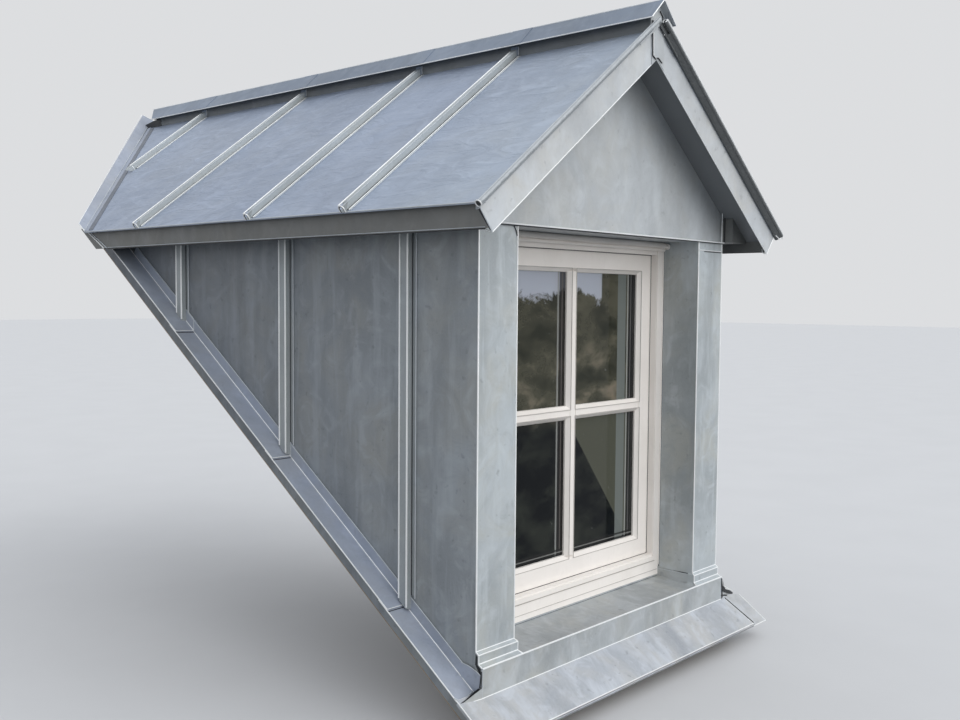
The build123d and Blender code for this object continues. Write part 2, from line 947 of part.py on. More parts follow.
with BuildPart() as glazing:
    for pane_front in (glass_front, glass_front + glass + glass_gap):
        with BuildSketch(facing(pane_front)):
            with Locations((0, level(light_foot) - glass_rebate)):
                Rectangle(
                    2 * (light_half + glass_rebate),
                    light_head - light_foot + 2 * glass_rebate,
                    align=(Align.CENTER, Align.MIN),
                )
        extrude(amount=-glass)
keep("glazing", glazing)

print(len(made), "pieces")
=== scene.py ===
import bpy
import bmesh
from math import cos, pi, radians, sin, tan
from mathutils import Matrix, Vector


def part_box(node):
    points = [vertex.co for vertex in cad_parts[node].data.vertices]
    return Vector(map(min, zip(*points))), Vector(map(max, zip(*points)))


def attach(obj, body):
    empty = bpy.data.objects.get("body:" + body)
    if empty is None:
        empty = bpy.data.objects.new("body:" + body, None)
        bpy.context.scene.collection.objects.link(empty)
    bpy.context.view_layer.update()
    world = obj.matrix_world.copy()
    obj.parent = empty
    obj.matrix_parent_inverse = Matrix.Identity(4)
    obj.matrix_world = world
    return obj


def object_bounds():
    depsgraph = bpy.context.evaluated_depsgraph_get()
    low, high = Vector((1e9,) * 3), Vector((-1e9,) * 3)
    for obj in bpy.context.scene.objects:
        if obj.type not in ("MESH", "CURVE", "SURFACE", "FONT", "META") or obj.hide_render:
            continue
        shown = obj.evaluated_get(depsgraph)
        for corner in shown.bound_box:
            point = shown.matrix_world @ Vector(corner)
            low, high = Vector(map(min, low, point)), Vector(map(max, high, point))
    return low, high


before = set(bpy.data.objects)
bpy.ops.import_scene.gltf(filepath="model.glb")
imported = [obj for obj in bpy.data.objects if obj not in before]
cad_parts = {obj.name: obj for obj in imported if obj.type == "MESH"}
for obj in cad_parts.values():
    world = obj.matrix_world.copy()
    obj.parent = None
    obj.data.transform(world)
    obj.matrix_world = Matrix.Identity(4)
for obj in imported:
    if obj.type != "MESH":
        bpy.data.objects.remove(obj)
cad_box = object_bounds()

# Camera: the photograph's view, in the part's frame
YAW = radians(48.094)
PITCH = radians(-3.304)
ROLL = radians(0.434)
EYE = Vector((-2.0748, -1.4232, 0.9175))
FOCAL_PIXELS = 1043.85
PICTURE_WIDTH = 960
SENSOR_WIDTH = 36.0

# Pitch of the main roof and of the dormer's own roof
MAIN_PITCH = radians(35)
MAIN_TAN = tan(MAIN_PITCH)
MAIN_COS = cos(MAIN_PITCH)
MAIN_SIN = sin(MAIN_PITCH)
ROOF_PITCH = radians(37)
ROOF_TAN = tan(ROOF_PITCH)
ROOF_COS = cos(ROOF_PITCH)
ROOF_SIN = sin(ROOF_PITCH)

# Sheet, boards and the layer of tiles, in metres as all that follows
SHEET = 0.002
ROOF_BOARD = 0.024
TILES = 0.080

# Front: heights are measured from the foot of the sill's fascia
FOOT = 0.094
SILL = FOOT + 0.063
NOSE = -0.019
HALF = 0.495
REVEAL = 0.373
FRAME_HEAD = FOOT + 1.0
PEDIMENT_FOOT = FRAME_HEAD - 0.018
COLLAR_HEAD = SILL + 0.031
COLLAR_BAND_HEAD = SILL + 0.025
COLLAR_BAND_FOOT = SILL + 0.006
COLLAR_REACH = 0.018
COLLAR_PROUD = 0.008

# Dormer roof
RAFTER_SEAT = 0.457
RAFTER_DROP = 0.080
RAFTER_TAIL = 0.006
BOARD_DROP = (SHEET + ROOF_BOARD) / ROOF_COS
RIDGE = FRAME_HEAD + ROOF_TAN * RAFTER_SEAT + BOARD_DROP + RAFTER_DROP
EAVE = HALF + 0.098
FASCIA = EAVE - 0.016
FASCIA_DRIP = 0.023
FASCIA_FOOT = RIDGE - ROOF_TAN * (FASCIA - SHEET) - BOARD_DROP - RAFTER_TAIL - SHEET - FASCIA_DRIP
VERGE = -0.098
BARGE_DROP = 0.080
TIP = EAVE - 0.028
TIP_DROP = 0.078
EAR = EAVE + 0.019

# Seams, ridge cap and flashings
ROOF_BATTENS = (0.302, 0.645, 1.146, 1.680)
BATTEN_HALF = 0.008
BATTEN_RISE = 0.016
CHEEK_BATTENS = (0.203, 0.626, 1.079)
BATTEN_GAP = 0.031
VALLEY_TURN = 0.013
VALLEY_WING_LOW = 0.032
VALLEY_WING_HIGH = 0.055
CAP_HALF = 0.050
CAP_RISE = 0.048
CAP_FRONT = -0.117
CAP_CUT = 0.056
CAP_EDGE = RIDGE + 0.004
CAP_TOP = CAP_EDGE + CAP_RISE
BAND_HALF = 0.028
LAPS = (0.207, 0.612, 1.030)
LAP = 0.028
FLASHING_END = 1.42
FLASHING_WING = 0.055
FLASHING_UPSTAND = 0.028
APRON_LEFT = -0.558
APRON_RIGHT = 0.530
APRON_END = 0.602
APRON_SLOPE = 0.101

# Window
FRAME_FOOT = FOOT + 0.069
FRAME_FRONT = 0.108
SASH_FRONT = FRAME_FRONT + 0.019
GLASS_FRONT = FRAME_FRONT + 0.033
GLASS_BACK = GLASS_FRONT + 0.024
SASH_HALF = 0.340
LIGHT_HALF = SASH_HALF - 0.052
LIGHT_FOOT = FOOT + 0.189
LIGHT_HEAD = FOOT + 0.893
BAR_HALF = 0.019
CROSS_LOW = FOOT + 0.5275
CROSS_HIGH = FOOT + 0.563
BEAD_OUTER = 0.352
BEAD_FOOT = FRAME_FOOT + 0.058
BEAD_HEAD = FOOT + 0.960
DRIP_Y = FRAME_FRONT - 0.012
DRIP_Z = PEDIMENT_FOOT - 0.012
SASH_FOOT, SASH_HEAD = (corner[2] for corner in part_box("casement"))

# Colours of the verge's folds and the bargeboard's soffit, painted light and shade, and of the background
LIT_FOLD = (0.40, 0.43, 0.455)
SHADED_FOLD = (0.10, 0.108, 0.112)
SHADED_SOFFIT = (0.204, 0.216, 0.228)
PALE_BACKGROUND = (0.72, 0.73, 0.745)


def roof_z(x, up=0.0):
    """Height of the dormer roof's sheet at a distance from the ridge."""
    return RIDGE - ROOF_TAN * abs(x) + up


def main_z(y, depth):
    """Height of a plane that lies over the rafters of the main roof by depth."""
    return y * MAIN_TAN + depth / MAIN_COS


def main_y(z, depth):
    """Where that plane reaches a height."""
    return (z - depth / MAIN_COS) / MAIN_TAN


def cap_back(z):
    """Where the ridge cap ends at the back, at a height."""
    return main_y(z, TILES + CAP_CUT)


def on_main(x, along, depth):
    """Point on a plane parallel to the main roof: along is measured up the slope from the origin."""
    return Vector((x, along * MAIN_COS, along * MAIN_SIN + depth / MAIN_COS))


def at_corner(side, out, y, up):
    """Point told from the lower outer corner of the sill's fascia."""
    return Vector((side * (HALF + out), y, FOOT + up))


def on_roof(side, across, y, up):
    """Point over a slope of the dormer roof: across is the level distance from the ridge."""
    return Vector((side * (across + up * ROOF_SIN), y, roof_z(across) + up * ROOF_COS))


# Nodes of a material


def new_material(name):
    material = bpy.data.materials.new(name)
    material.use_nodes = True
    tree = material.node_tree
    return material, tree, tree.nodes["Principled BSDF"]


def add(tree, kind, **settings):
    node = tree.nodes.new(kind)
    for key, value in settings.items():
        setattr(node, key, value)
    return node


def fill(tree, socket, value):
    """Links a socket to another node's output, or sets it to a plain number or colour."""
    if isinstance(value, float):
        socket.default_value = value
    elif isinstance(value, tuple):
        socket.default_value = (*value, 1)
    else:
        tree.links.new(value, socket)


def coordinates(tree, kind="Object"):
    return add(tree, "ShaderNodeTexCoord").outputs[kind]


def parts_of(tree, vector):
    """The parts of a vector, by name."""
    node = add(tree, "ShaderNodeSeparateXYZ")
    tree.links.new(vector, node.inputs["Vector"])
    return node.outputs


def noise(tree, vector, scale=1.0, detail=4.0, roughness=0.55, distortion=0.0, stretch=None):
    """A noise texture on a vector, stretched if asked."""
    if stretch:
        mapping = add(tree, "ShaderNodeMapping")
        mapping.inputs["Scale"].default_value = stretch
        tree.links.new(vector, mapping.inputs["Vector"])
        vector = mapping.outputs["Vector"]
    node = add(tree, "ShaderNodeTexNoise")
    node.inputs["Scale"].default_value = scale
    node.inputs["Detail"].default_value = detail
    node.inputs["Roughness"].default_value = roughness
    node.inputs["Distortion"].default_value = distortion
    tree.links.new(vector, node.inputs["Vector"])
    return node.outputs["Fac"]


def spread(tree, value, low, high, out_low=0.0, out_high=1.0):
    """Maps a value between low and high onto another range, held at both ends."""
    node = add(tree, "ShaderNodeMapRange")
    node.inputs["From Min"].default_value = low
    node.inputs["From Max"].default_value = high
    node.inputs["To Min"].default_value = out_low
    node.inputs["To Max"].default_value = out_high
    tree.links.new(value, node.inputs["Value"])
    return node.outputs["Result"]


def blend(tree, factor, first, second, mode="MIX"):
    node = add(tree, "ShaderNodeMix", data_type="RGBA", blend_type=mode)
    fill(tree, node.inputs["Factor"], factor)
    sockets = [item for item in node.inputs if item.type == "RGBA"]
    for socket, value in zip(sockets, (first, second)):
        fill(tree, socket, value)
    return [item for item in node.outputs if item.type == "RGBA"][0]


def stain(tree, colour, texture, start, full, amount, tone):
    """Lays a tone over a colour where a texture goes from start to full."""
    return blend(tree, spread(tree, texture, start, full, 0.0, amount), colour, tone)


def combine(tree, first, second, operation="MULTIPLY"):
    node = add(tree, "ShaderNodeMath", operation=operation)
    for socket, value in zip(node.inputs, (first, second)):
        fill(tree, socket, value)
    return node.outputs["Value"]


def band(tree, value, low, high, edge):
    """One between low and high, with soft edges."""
    return combine(tree, spread(tree, value, low, low + edge), spread(tree, value, high + edge, high))


def bump(tree, shader, layers):
    """Chain of bumps: (height, strength, distance in metres)."""
    normal = None
    for height, strength, distance in layers:
        node = add(tree, "ShaderNodeBump")
        node.inputs["Strength"].default_value = strength
        node.inputs["Distance"].default_value = distance
        tree.links.new(height, node.inputs["Height"])
        if normal:
            tree.links.new(normal, node.inputs["Normal"])
        normal = node.outputs["Normal"]
    tree.links.new(normal, shader.inputs["Normal"])


def scaled(colour, factor):
    return tuple(channel * factor for channel in colour)


# Materials


def painted_soffit_shade(tree, place, colour):
    """Painted shade: the bargeboard's folded back, which faces down, is darker than its face."""
    return stain(tree, colour, place["Y"], VERGE + 0.0024, VERGE + 0.0028, 1.0, SHADED_SOFFIT)


def dark_rear(tree, place, colour):
    """A cheek gets darker and a little bluer towards its rear corner."""
    darker = blend(tree, 1.0, colour, (0.44, 0.45, 0.49), "MULTIPLY")
    return stain(tree, colour, place["Y"], 0.0, 1.5, 1.0, darker)


def verge_folds(tree, place, colour):
    """The roof's first bay is brighter, and its folded verge is painted pale on the left and dark on the
    right, as light and shade.
    """
    brighter = blend(tree, 1.0, colour, (1.20, 1.18, 1.10), "MULTIPLY")
    colour = stain(tree, colour, place["Y"], 0.40, 0.0, 0.8, brighter)
    fold = stain(tree, LIT_FOLD, place["X"], -0.01, 0.01, 1.0, SHADED_FOLD)
    return stain(tree, colour, place["Y"], VERGE - 0.0004, VERGE - 0.0010, 1.0, fold)


def zinc(name, base, streaks, contrast=1.0, wave=0.5, shine=0.0, runs=0.6, ripple=None, finish=None):
    """Weathered zinc sheet: broad clouds, blotches, runs down the sheet, small ripples with painted
    highlights and shade, spangle and pits.
    """
    material, tree, shader = new_material(name)
    vector = coordinates(tree)
    clouds = noise(tree, vector, scale=2.6, detail=3.0, roughness=0.55, distortion=0.6)
    blotches = noise(tree, vector, scale=13.0, detail=6.0, roughness=0.62, distortion=1.4)
    tint = noise(tree, vector, scale=5.5, detail=4.0, roughness=0.6, distortion=0.9)
    streak = noise(tree, vector, detail=5.0, roughness=0.6, distortion=0.35, stretch=streaks)
    fine_streak = noise(tree, vector, detail=4.0, roughness=0.6, distortion=0.2, stretch=scaled(streaks, 3.1))
    spangle = noise(tree, vector, scale=210.0, detail=3.0, roughness=0.7)
    pits = noise(tree, vector, scale=55.0, detail=2.0, roughness=0.5)
    red, green, blue = base
    warm = (red * 1.05, green, blue * 0.92)
    pale = tuple(min(channel * 1.22 + 0.03, 0.92) for channel in base)
    cloudy = (scaled(base, 1 - 0.13 * contrast), scaled(base, 1 + 0.11 * contrast))
    colour = blend(tree, spread(tree, clouds, 0.32, 0.68), *cloudy)
    for texture, start, full, amount, tone in (
        (tint, 0.42, 0.66, 0.6 * contrast, warm),
        (blotches, 0.50, 0.78, 0.5 * contrast, pale),
        (blotches, 0.45, 0.22, 0.4 * contrast, scaled(base, 0.76)),
        (streak, 0.50, 0.76, runs * contrast, scaled(base, 0.72)),
        (fine_streak, 0.52, 0.80, 0.8 * runs * contrast, pale),
        (spangle, 0.35, 0.75, 0.16, scaled(base, 1.3)),
        (pits, 0.66, 0.76, 0.3 * contrast, scaled(base, 0.6)),
    ):
        colour = stain(tree, colour, texture, start, full, amount, tone)
    layers = []
    if ripple:
        dents = noise(tree, vector, detail=3.5, roughness=0.6, distortion=1.1, stretch=ripple)
        # Painted highlight on the ripples' crests and painted shade in their troughs; the same noise also
        # bumps the sheet
        colour = stain(tree, colour, dents, 0.54, 0.70, 0.55, pale)
        colour = stain(tree, colour, dents, 0.44, 0.30, 0.4, scaled(base, 0.82))
        layers.append((dents, 0.8, 0.009))
    if finish:
        colour = finish(tree, parts_of(tree, vector), colour)
    tree.links.new(colour, shader.inputs["Base Color"])
    tree.links.new(spread(tree, blotches, 0.3, 0.7, 0.54 - shine, 0.42 - shine), shader.inputs["Roughness"])
    shader.inputs["Metallic"].default_value = 0.3
    swell = noise(tree, vector, detail=1.5, roughness=0.5, distortion=0.3, stretch=scaled(streaks, 0.55))
    layers += [(swell, 0.45 * wave, 0.03), (clouds, 0.35 * wave, 0.02)]
    layers += [(blotches, 0.2, 0.0012), (spangle, 0.12, 0.0003)]
    bump(tree, shader, layers)
    return material


def paint(name, base, shade, gloss=0.34):
    """Brushed paint on wood: faint brush lines, a little grime and a soft satin."""
    material, tree, shader = new_material(name)
    vector = coordinates(tree)
    clouds = noise(tree, vector, scale=6.0, detail=4.0, roughness=0.6, distortion=0.4)
    brush = noise(tree, vector, detail=3.0, roughness=0.6, distortion=0.0, stretch=(260, 260, 9))
    grime = noise(tree, vector, scale=34.0, detail=5.0, roughness=0.65, distortion=0.8)
    colour = blend(tree, spread(tree, clouds, 0.3, 0.7), shade, base)
    colour = stain(tree, colour, grime, 0.56, 0.80, 0.35, scaled(base, 0.78))
    colour = stain(tree, colour, brush, 0.35, 0.70, 0.12, scaled(base, 1.08))
    tree.links.new(colour, shader.inputs["Base Color"])
    tree.links.new(spread(tree, clouds, 0.3, 0.7, gloss + 0.08, gloss), shader.inputs["Roughness"])
    bump(tree, shader, ((brush, 0.15, 0.0002), (grime, 0.1, 0.0004)))
    return material


def wood(name, base, grain):
    """Sawn softwood with long growth rings and a few darker patches."""
    material, tree, shader = new_material(name)
    vector = coordinates(tree)
    rings = noise(tree, vector, detail=6.0, roughness=0.6, distortion=1.2, stretch=grain)
    fibre = noise(tree, vector, detail=4.0, roughness=0.7, distortion=0.0, stretch=scaled(grain, 6))
    patches = noise(tree, vector, scale=3.0, detail=3.0, roughness=0.5)
    colour = blend(tree, spread(tree, rings, 0.3, 0.7), scaled(base, 0.72), scaled(base, 1.12))
    colour = stain(tree, colour, fibre, 0.50, 0.80, 0.5, scaled(base, 0.55))
    colour = stain(tree, colour, patches, 0.45, 0.75, 0.4, scaled(base, 0.62))
    tree.links.new(colour, shader.inputs["Base Color"])
    tree.links.new(spread(tree, fibre, 0.3, 0.7, 0.85, 0.65), shader.inputs["Roughness"])
    bump(tree, shader, ((rings, 0.3, 0.001), (fibre, 0.4, 0.0004)))
    return material


def glass_with_painted_reflection(name):
    """Glazing with a painted reflection: a pale sky at the head over a soft broken tree line, dark lower
    down, with painted bands of the lining.
    """
    material, tree, shader = new_material(name)
    vector = coordinates(tree)
    place = parts_of(tree, vector)
    across, height = place["X"], place["Z"]
    broken = noise(tree, vector, scale=9.0, detail=7.0, roughness=0.68, distortion=0.3)
    patches = noise(tree, vector, detail=5.0, roughness=0.58, distortion=0.25, stretch=(9, 9, 15))
    specks = noise(tree, vector, scale=60.0, detail=3.0, roughness=0.75)
    # Painted reflection: a tree line broken by noise, dark and olive tree tones, a warm patch and a dark foot
    line = combine(tree, height, combine(tree, broken, 0.16), "ADD")
    colour = blend(tree, spread(tree, patches, 0.35, 0.65), (0.045, 0.048, 0.035), (0.15, 0.145, 0.105))
    warmer = combine(tree, spread(tree, patches, 0.55, 0.70), spread(tree, height, 0.84, 0.74))
    colour = blend(tree, warmer, colour, (0.30, 0.26, 0.20))
    low = blend(tree, spread(tree, patches, 0.42, 0.75), (0.006, 0.008, 0.010), (0.055, 0.062, 0.05))
    colour = blend(tree, spread(tree, height, 0.66, 0.60), colour, low)
    # Painted light along a diagonal edge of the lining seen through the glass
    lining = combine(tree, combine(tree, across, 1.26), height, "ADD")
    lit = combine(tree, spread(tree, lining, 0.612, 0.617), spread(tree, across, 0.02, 0.022))
    lit = combine(tree, lit, spread(tree, height, 0.66, 0.64))
    colour = blend(tree, lit, colour, (0.125, 0.13, 0.10))
    # Painted highlights: pale specks in the reflection
    colour = stain(tree, colour, specks, 0.68, 0.80, 0.5, (0.42, 0.43, 0.42))
    # Painted reflection of the sky above the tree line
    painted_sky = combine(tree, spread(tree, across, 0.137, 0.133), spread(tree, line, 1.003, 1.014))
    colour = blend(tree, painted_sky, colour, (0.63, 0.67, 0.76))
    # Painted upright bands: pale bands of the lining and curtain seen in the glass, and dark shade between
    # them
    for low_x, high_x, tone in (
        (0.207, 0.245, (0.27, 0.30, 0.29)),
        (0.2505, 0.256, (0.55, 0.57, 0.56)),
        (0.258, 0.288, (0.03, 0.03, 0.035)),
        (0.266, 0.269, (0.24, 0.24, 0.24)),
        (-0.0515, -0.0455, (0.42, 0.43, 0.42)),
        (-0.0435, -0.019, (0.03, 0.028, 0.028)),
        (-0.034, -0.031, (0.20, 0.18, 0.17)),
    ):
        upright_band = band(tree, across, low_x, high_x, 0.002)
        colour = blend(tree, combine(tree, upright_band, 0.85), colour, tone)
    # Painted shade and a pale painted highlight along the foot of the lower panes
    for low_z, high_z, tone in (
        (0.0, 0.006, (0.02, 0.02, 0.02)),
        (0.0075, 0.0105, (0.32, 0.32, 0.31)),
        (0.012, 0.017, (0.03, 0.03, 0.03)),
    ):
        level_band = band(tree, height, LIGHT_FOOT + low_z, LIGHT_FOOT + high_z, 0.001)
        colour = blend(tree, combine(tree, level_band, 0.8), colour, tone)
    tree.links.new(colour, shader.inputs["Base Color"])
    shader.inputs["Transmission Weight"].default_value = 0.45
    shader.inputs["Roughness"].default_value = 0.03
    shader.inputs["IOR"].default_value = 1.3
    shader.inputs["Specular IOR Level"].default_value = 0.06
    return material


roof_zinc = zinc(
    "zinc_roof",
    (0.315, 0.37, 0.475),
    (1.3, 9, 1.3),
    contrast=0.85,
    wave=0.8,
    runs=0.25,
    ripple=(24, 8, 24),
    finish=verge_folds,
)
cap_zinc = zinc("zinc_ridge_cap", (0.215, 0.26, 0.335), (2, 6, 2), contrast=1.0, wave=0.3)
batten_zinc = zinc("zinc_battens", (0.42, 0.458, 0.478), (2, 9, 2), contrast=0.8, wave=0.2)
# Painted light and shade: the verge rolls get a dark copy of the zinc on the right and a pale copy on the
# left
roll_zinc = zinc("zinc_dark_roll", SHADED_FOLD, (9, 9, 9), contrast=0.8, wave=0.1)
lit_roll_zinc = zinc("zinc_pale_roll", LIT_FOLD, (9, 9, 9), contrast=0.8, wave=0.1)
# Painted light: the pediment's end leaves get a pale base, for light in the recess behind the bargeboards
lit_leaf_zinc = zinc("zinc_end_leaf", (0.66, 0.69, 0.71), (9, 9, 3), contrast=0.8, wave=0.1)
band_zinc = zinc("zinc_ridge_band", (0.145, 0.16, 0.175), (5, 3, 8), contrast=1.2, wave=0.2)
# Painted shade: the cheeks get a darker copy of the zinc, for the shade on the upright sides
cheek_zinc = zinc("zinc_cheek", (0.290, 0.318, 0.343), (9, 9, 1.1), contrast=1.8, wave=0.7, finish=dark_rear)
rib_zinc = zinc("zinc_ribs", (0.33, 0.36, 0.38), (14, 14, 1.5), contrast=0.8, wave=0.2)
# Painted shade: the eaves fascia gets a dark base, for the shade under the eaves
shaded_fascia_zinc = zinc("zinc_fascia", (0.165, 0.170, 0.168), (5, 5, 2.2), contrast=0.9, wave=0.3)
front_zinc = zinc("zinc_front", (0.425, 0.465, 0.49), (11, 11, 1.6), contrast=1.9, wave=0.5)
gable_zinc = zinc("zinc_gable", (0.455, 0.485, 0.51), (5, 5, 2.4), contrast=1.2, wave=0.6)
barge_zinc = zinc(
    "zinc_bargeboard", (0.51, 0.54, 0.57), (5, 5, 2.4), contrast=1.4, wave=0.6, finish=painted_soffit_shade
)
wing_zinc = zinc("zinc_flashing", (0.36, 0.40, 0.48), (5, 3, 3), contrast=1.1, wave=0.6)
# Painted shade: a dark strip for the shaded fold along each valley
valley_shadow_zinc = zinc("zinc_valley_fold", (0.165, 0.185, 0.225), (5, 3, 3), contrast=0.9, wave=0.2)
sill_zinc = zinc("zinc_sill", (0.42, 0.45, 0.47), (10, 4, 4), contrast=1.7, wave=0.5)
apron_zinc = zinc("zinc_apron", (0.44, 0.47, 0.515), (8, 3, 3), contrast=2.2, wave=0.7)
# Folded edges: worn, with painted highlights, in a bright and a softer tone
bright_zinc = zinc("zinc_worn_edge", (0.84, 0.86, 0.87), (20, 20, 20), contrast=0.3, wave=0.0, shine=0.1)
soft_edge = zinc("zinc_soft_edge", (0.50, 0.54, 0.58), (20, 20, 20), contrast=0.7, wave=0.0)
# Dark of the open seams, and of painted shadows in gaps, recesses and under folds
seam_and_shadow_dark = zinc("zinc_deep_gap", (0.02, 0.022, 0.026), (20, 20, 20), contrast=0.6, wave=0.0)
white_paint = paint("window_paint", (0.86, 0.82, 0.785), (0.80, 0.76, 0.72))
# Painted shade in the corners of the window's mouldings
quirk_paint = paint("quirk_paint", (0.50, 0.475, 0.45), (0.42, 0.40, 0.37))
lining_paint = paint("lining_paint", (0.62, 0.60, 0.55), (0.54, 0.52, 0.47), 0.5)
softwood = wood("sawn_softwood", (0.46, 0.33, 0.20), (7, 2.2, 7))
# Dark of the glazing's spacers; the same dark paints the shadow lines of the sash's seams
spacer_dark = paint("spacer_dark", (0.035, 0.032, 0.03), (0.02, 0.02, 0.02), 0.4)
pane_glass = glass_with_painted_reflection("pane_glass")

# The CAD's nodes by name without their side; all that isn't named here is softwood
CAD_MATERIALS = {
    "roof_sheets": roof_zinc,
    "valley_flashing": wing_zinc,
    "roof_battens": batten_zinc,
    "ridge_cap": cap_zinc,
    "ridge_batten": band_zinc,
    "apex_cover": gable_zinc,
    "bargeboard": barge_zinc,
    "pediment": gable_zinc,
    "eaves_fascia": shaded_fascia_zinc,
    "cheek_zinc": cheek_zinc,
    "cheek_battens": rib_zinc,
    "side_flashing": wing_zinc,
    "post_cladding": front_zinc,
    "sill_cover": sill_zinc,
    "apron": apron_zinc,
    "window_frame": white_paint,
    "casement": white_paint,
    "glazing": pane_glass,
    "cheek_lining": lining_paint,
}

for node_name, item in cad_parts.items():
    stem = node_name.replace("_left", "").replace("_right", "")
    item.data.materials.clear()
    item.data.materials.append(CAD_MATERIALS.get(stem, softwood))


# Shapes


class Shape:
    """Collects rods, plates and boxes that make one piece."""

    def __init__(self):
        self.mesh = bmesh.new()

    def skin(self, rings):
        """Joins rings of points into a closed skin with flat ends."""
        rows = [[self.mesh.verts.new(point) for point in ring] for ring in rings]
        count = len(rows[0])
        for lower, upper in zip(rows, rows[1:]):
            for index in range(count):
                after = (index + 1) % count
                self.mesh.faces.new((lower[index], lower[after], upper[after], upper[index]))
        self.mesh.faces.new(list(reversed(rows[0])))
        self.mesh.faces.new(rows[-1])

    def rod(self, points, radius, sides=6):
        """Round rod through points."""
        points = [Vector(point) for point in points]
        turns = [2 * pi * step / sides for step in range(sides)]
        rings = []
        guide = (points[1] - points[0]).normalized().orthogonal()
        for index, point in enumerate(points):
            before = points[max(index - 1, 0)]
            after = points[min(index + 1, len(points) - 1)]
            along = (after - before).normalized()
            guide = (guide - along * guide.dot(along)).normalized()
            other = along.cross(guide)
            rings.append([point + (guide * cos(turn) + other * sin(turn)) * radius for turn in turns])
        self.skin(rings)

    def upright(self, x, y, low, high, radius):
        self.rod([(x, y, low), (x, y, high)], radius)

    def crossing(self, start, end, y, z, radius, sides=6):
        """Level rod along the front, between two places on X."""
        self.rod([(start, y, z), (end, y, z)], radius, sides)

    def receding(self, x, z, start, end, radius):
        """Level rod from front to back, between two places on Y."""
        self.rod([(x, start, z), (x, end, z)], radius)

    def on_slope(self, side, ends, y, up, radius, sides=6):
        """Rod up a slope of the dormer roof, between two distances from the ridge."""
        self.rod([on_roof(side, across, y, up) for across in ends], radius, sides)

    def on_main(self, places, depth, radius):
        """Rod over the main roof through places (x, along)."""
        self.rod([on_main(x, along, depth) for x, along in places], radius)

    def plate(self, outline, offset):
        """Flat plate: an outline, and how far it is thick."""
        outline = [Vector(point) for point in outline]
        self.skin([outline, [point + Vector(offset) for point in outline]])

    def box(self, low, high):
        (x0, y0, z0), (x1, y1, z1) = low, high
        self.plate([(x0, y0, z0), (x1, y0, z0), (x1, y1, z0), (x0, y1, z0)], (0, 0, z1 - z0))

    def piece(self, name, material):
        """Turns what was collected into a named object that stands with the CAD."""
        bmesh.ops.recalc_face_normals(self.mesh, faces=self.mesh.faces)
        data = bpy.data.meshes.new(name)
        self.mesh.to_mesh(data)
        self.mesh.free()
        item = bpy.data.objects.new(name, data)
        bpy.context.scene.collection.objects.link(item)
        data.materials.append(material)
        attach(item, "root")


def both(builder):
    """Builds on the left, then on the right."""
    for side in (-1, 1):
        builder(side)


# Folded edges, worn and with painted highlights, and open seams with painted shadows, gathered by what they
# belong to
front_edges = Shape()
roof_edges = Shape()
cheek_edges = Shape()
flashing_edges = Shape()
seams_and_shadows = Shape()
soft_lines = Shape()
shaded_rolls = Shape()
lit_rolls = Shape()

# Sheets that are pieces of their own
end_leaves = Shape()
flashing_ends = Shape()
sill_flap = Shape()
batten_covers = Shape()
ridge_laps = Shape()
cap_underside_lights = Shape()
valley_shadow_strips = Shape()


# Front: posts and pediment


def post_lines(side):
    """A post's two bright folds, and the fold across its head on the right."""
    head = PEDIMENT_FOOT - 0.001
    front_edges.upright(side * HALF, -0.0004, COLLAR_HEAD, head, radius=0.0019)
    front_edges.upright(side * REVEAL, -0.0004, COLLAR_HEAD, head, radius=0.0017)
    if side < 0:
        curl = [(0.0140, -0.0010, 0.0015), (0.0060, -0.0012, 0.0120), (0.0018, -0.0010, 0.0230)]
        seams_and_shadows.rod([(-REVEAL - out, y, PEDIMENT_FOOT - drop) for out, y, drop in curl], radius=0.0011)
        return
    fold = head - 0.022
    front_edges.crossing(REVEAL + 0.004, HALF - 0.006, -0.0012, fold, radius=0.0014)
    seams_and_shadows.crossing(REVEAL + 0.030, HALF - 0.002, -0.0008, fold - 0.0028, radius=0.0010)


def pediment_drip():
    """The bright edge at the pediment's foot, and the dark seam below it."""
    front_edges.crossing(-HALF, HALF, -0.0075, PEDIMENT_FOOT + 0.001, radius=0.0019)
    seams_and_shadows.crossing(-HALF + 0.004, HALF - 0.004, -0.0035, PEDIMENT_FOOT - 0.0015, radius=0.0014)


def end_leaf(side):
    """The pediment's end: a folded leaf beside the post, made pale as painted light, its bright folds and the
    open seam.
    """
    inner, outer = side * (HALF + 0.0025), side * (HALF + 0.0495)
    seam = HALF - 0.0005
    foot = PEDIMENT_FOOT + 0.001
    leaf = [(inner, foot), (outer, foot), (outer, roof_z(outer, -0.030)), (inner, roof_z(inner, -0.030))]
    end_leaves.plate([(x, -0.0085, z) for x, z in leaf], (0, 0.0012, 0))
    for out, radius, drop in ((-0.0160, 0.0012, 0.034), (0.0080, 0.0019, 0.032), (0.0485, 0.0019, 0.030)):
        x = HALF + out
        front_edges.upright(side * x, -0.0092, foot + 0.001, roof_z(x, -drop), radius)
    seams_and_shadows.upright(side * seam, -0.0088, foot + 0.001, roof_z(seam, -0.034), radius=0.0016)
    if side < 0:
        soft_lines.crossing(inner, outer, -0.0090, foot, radius=0.0012)


# Verges


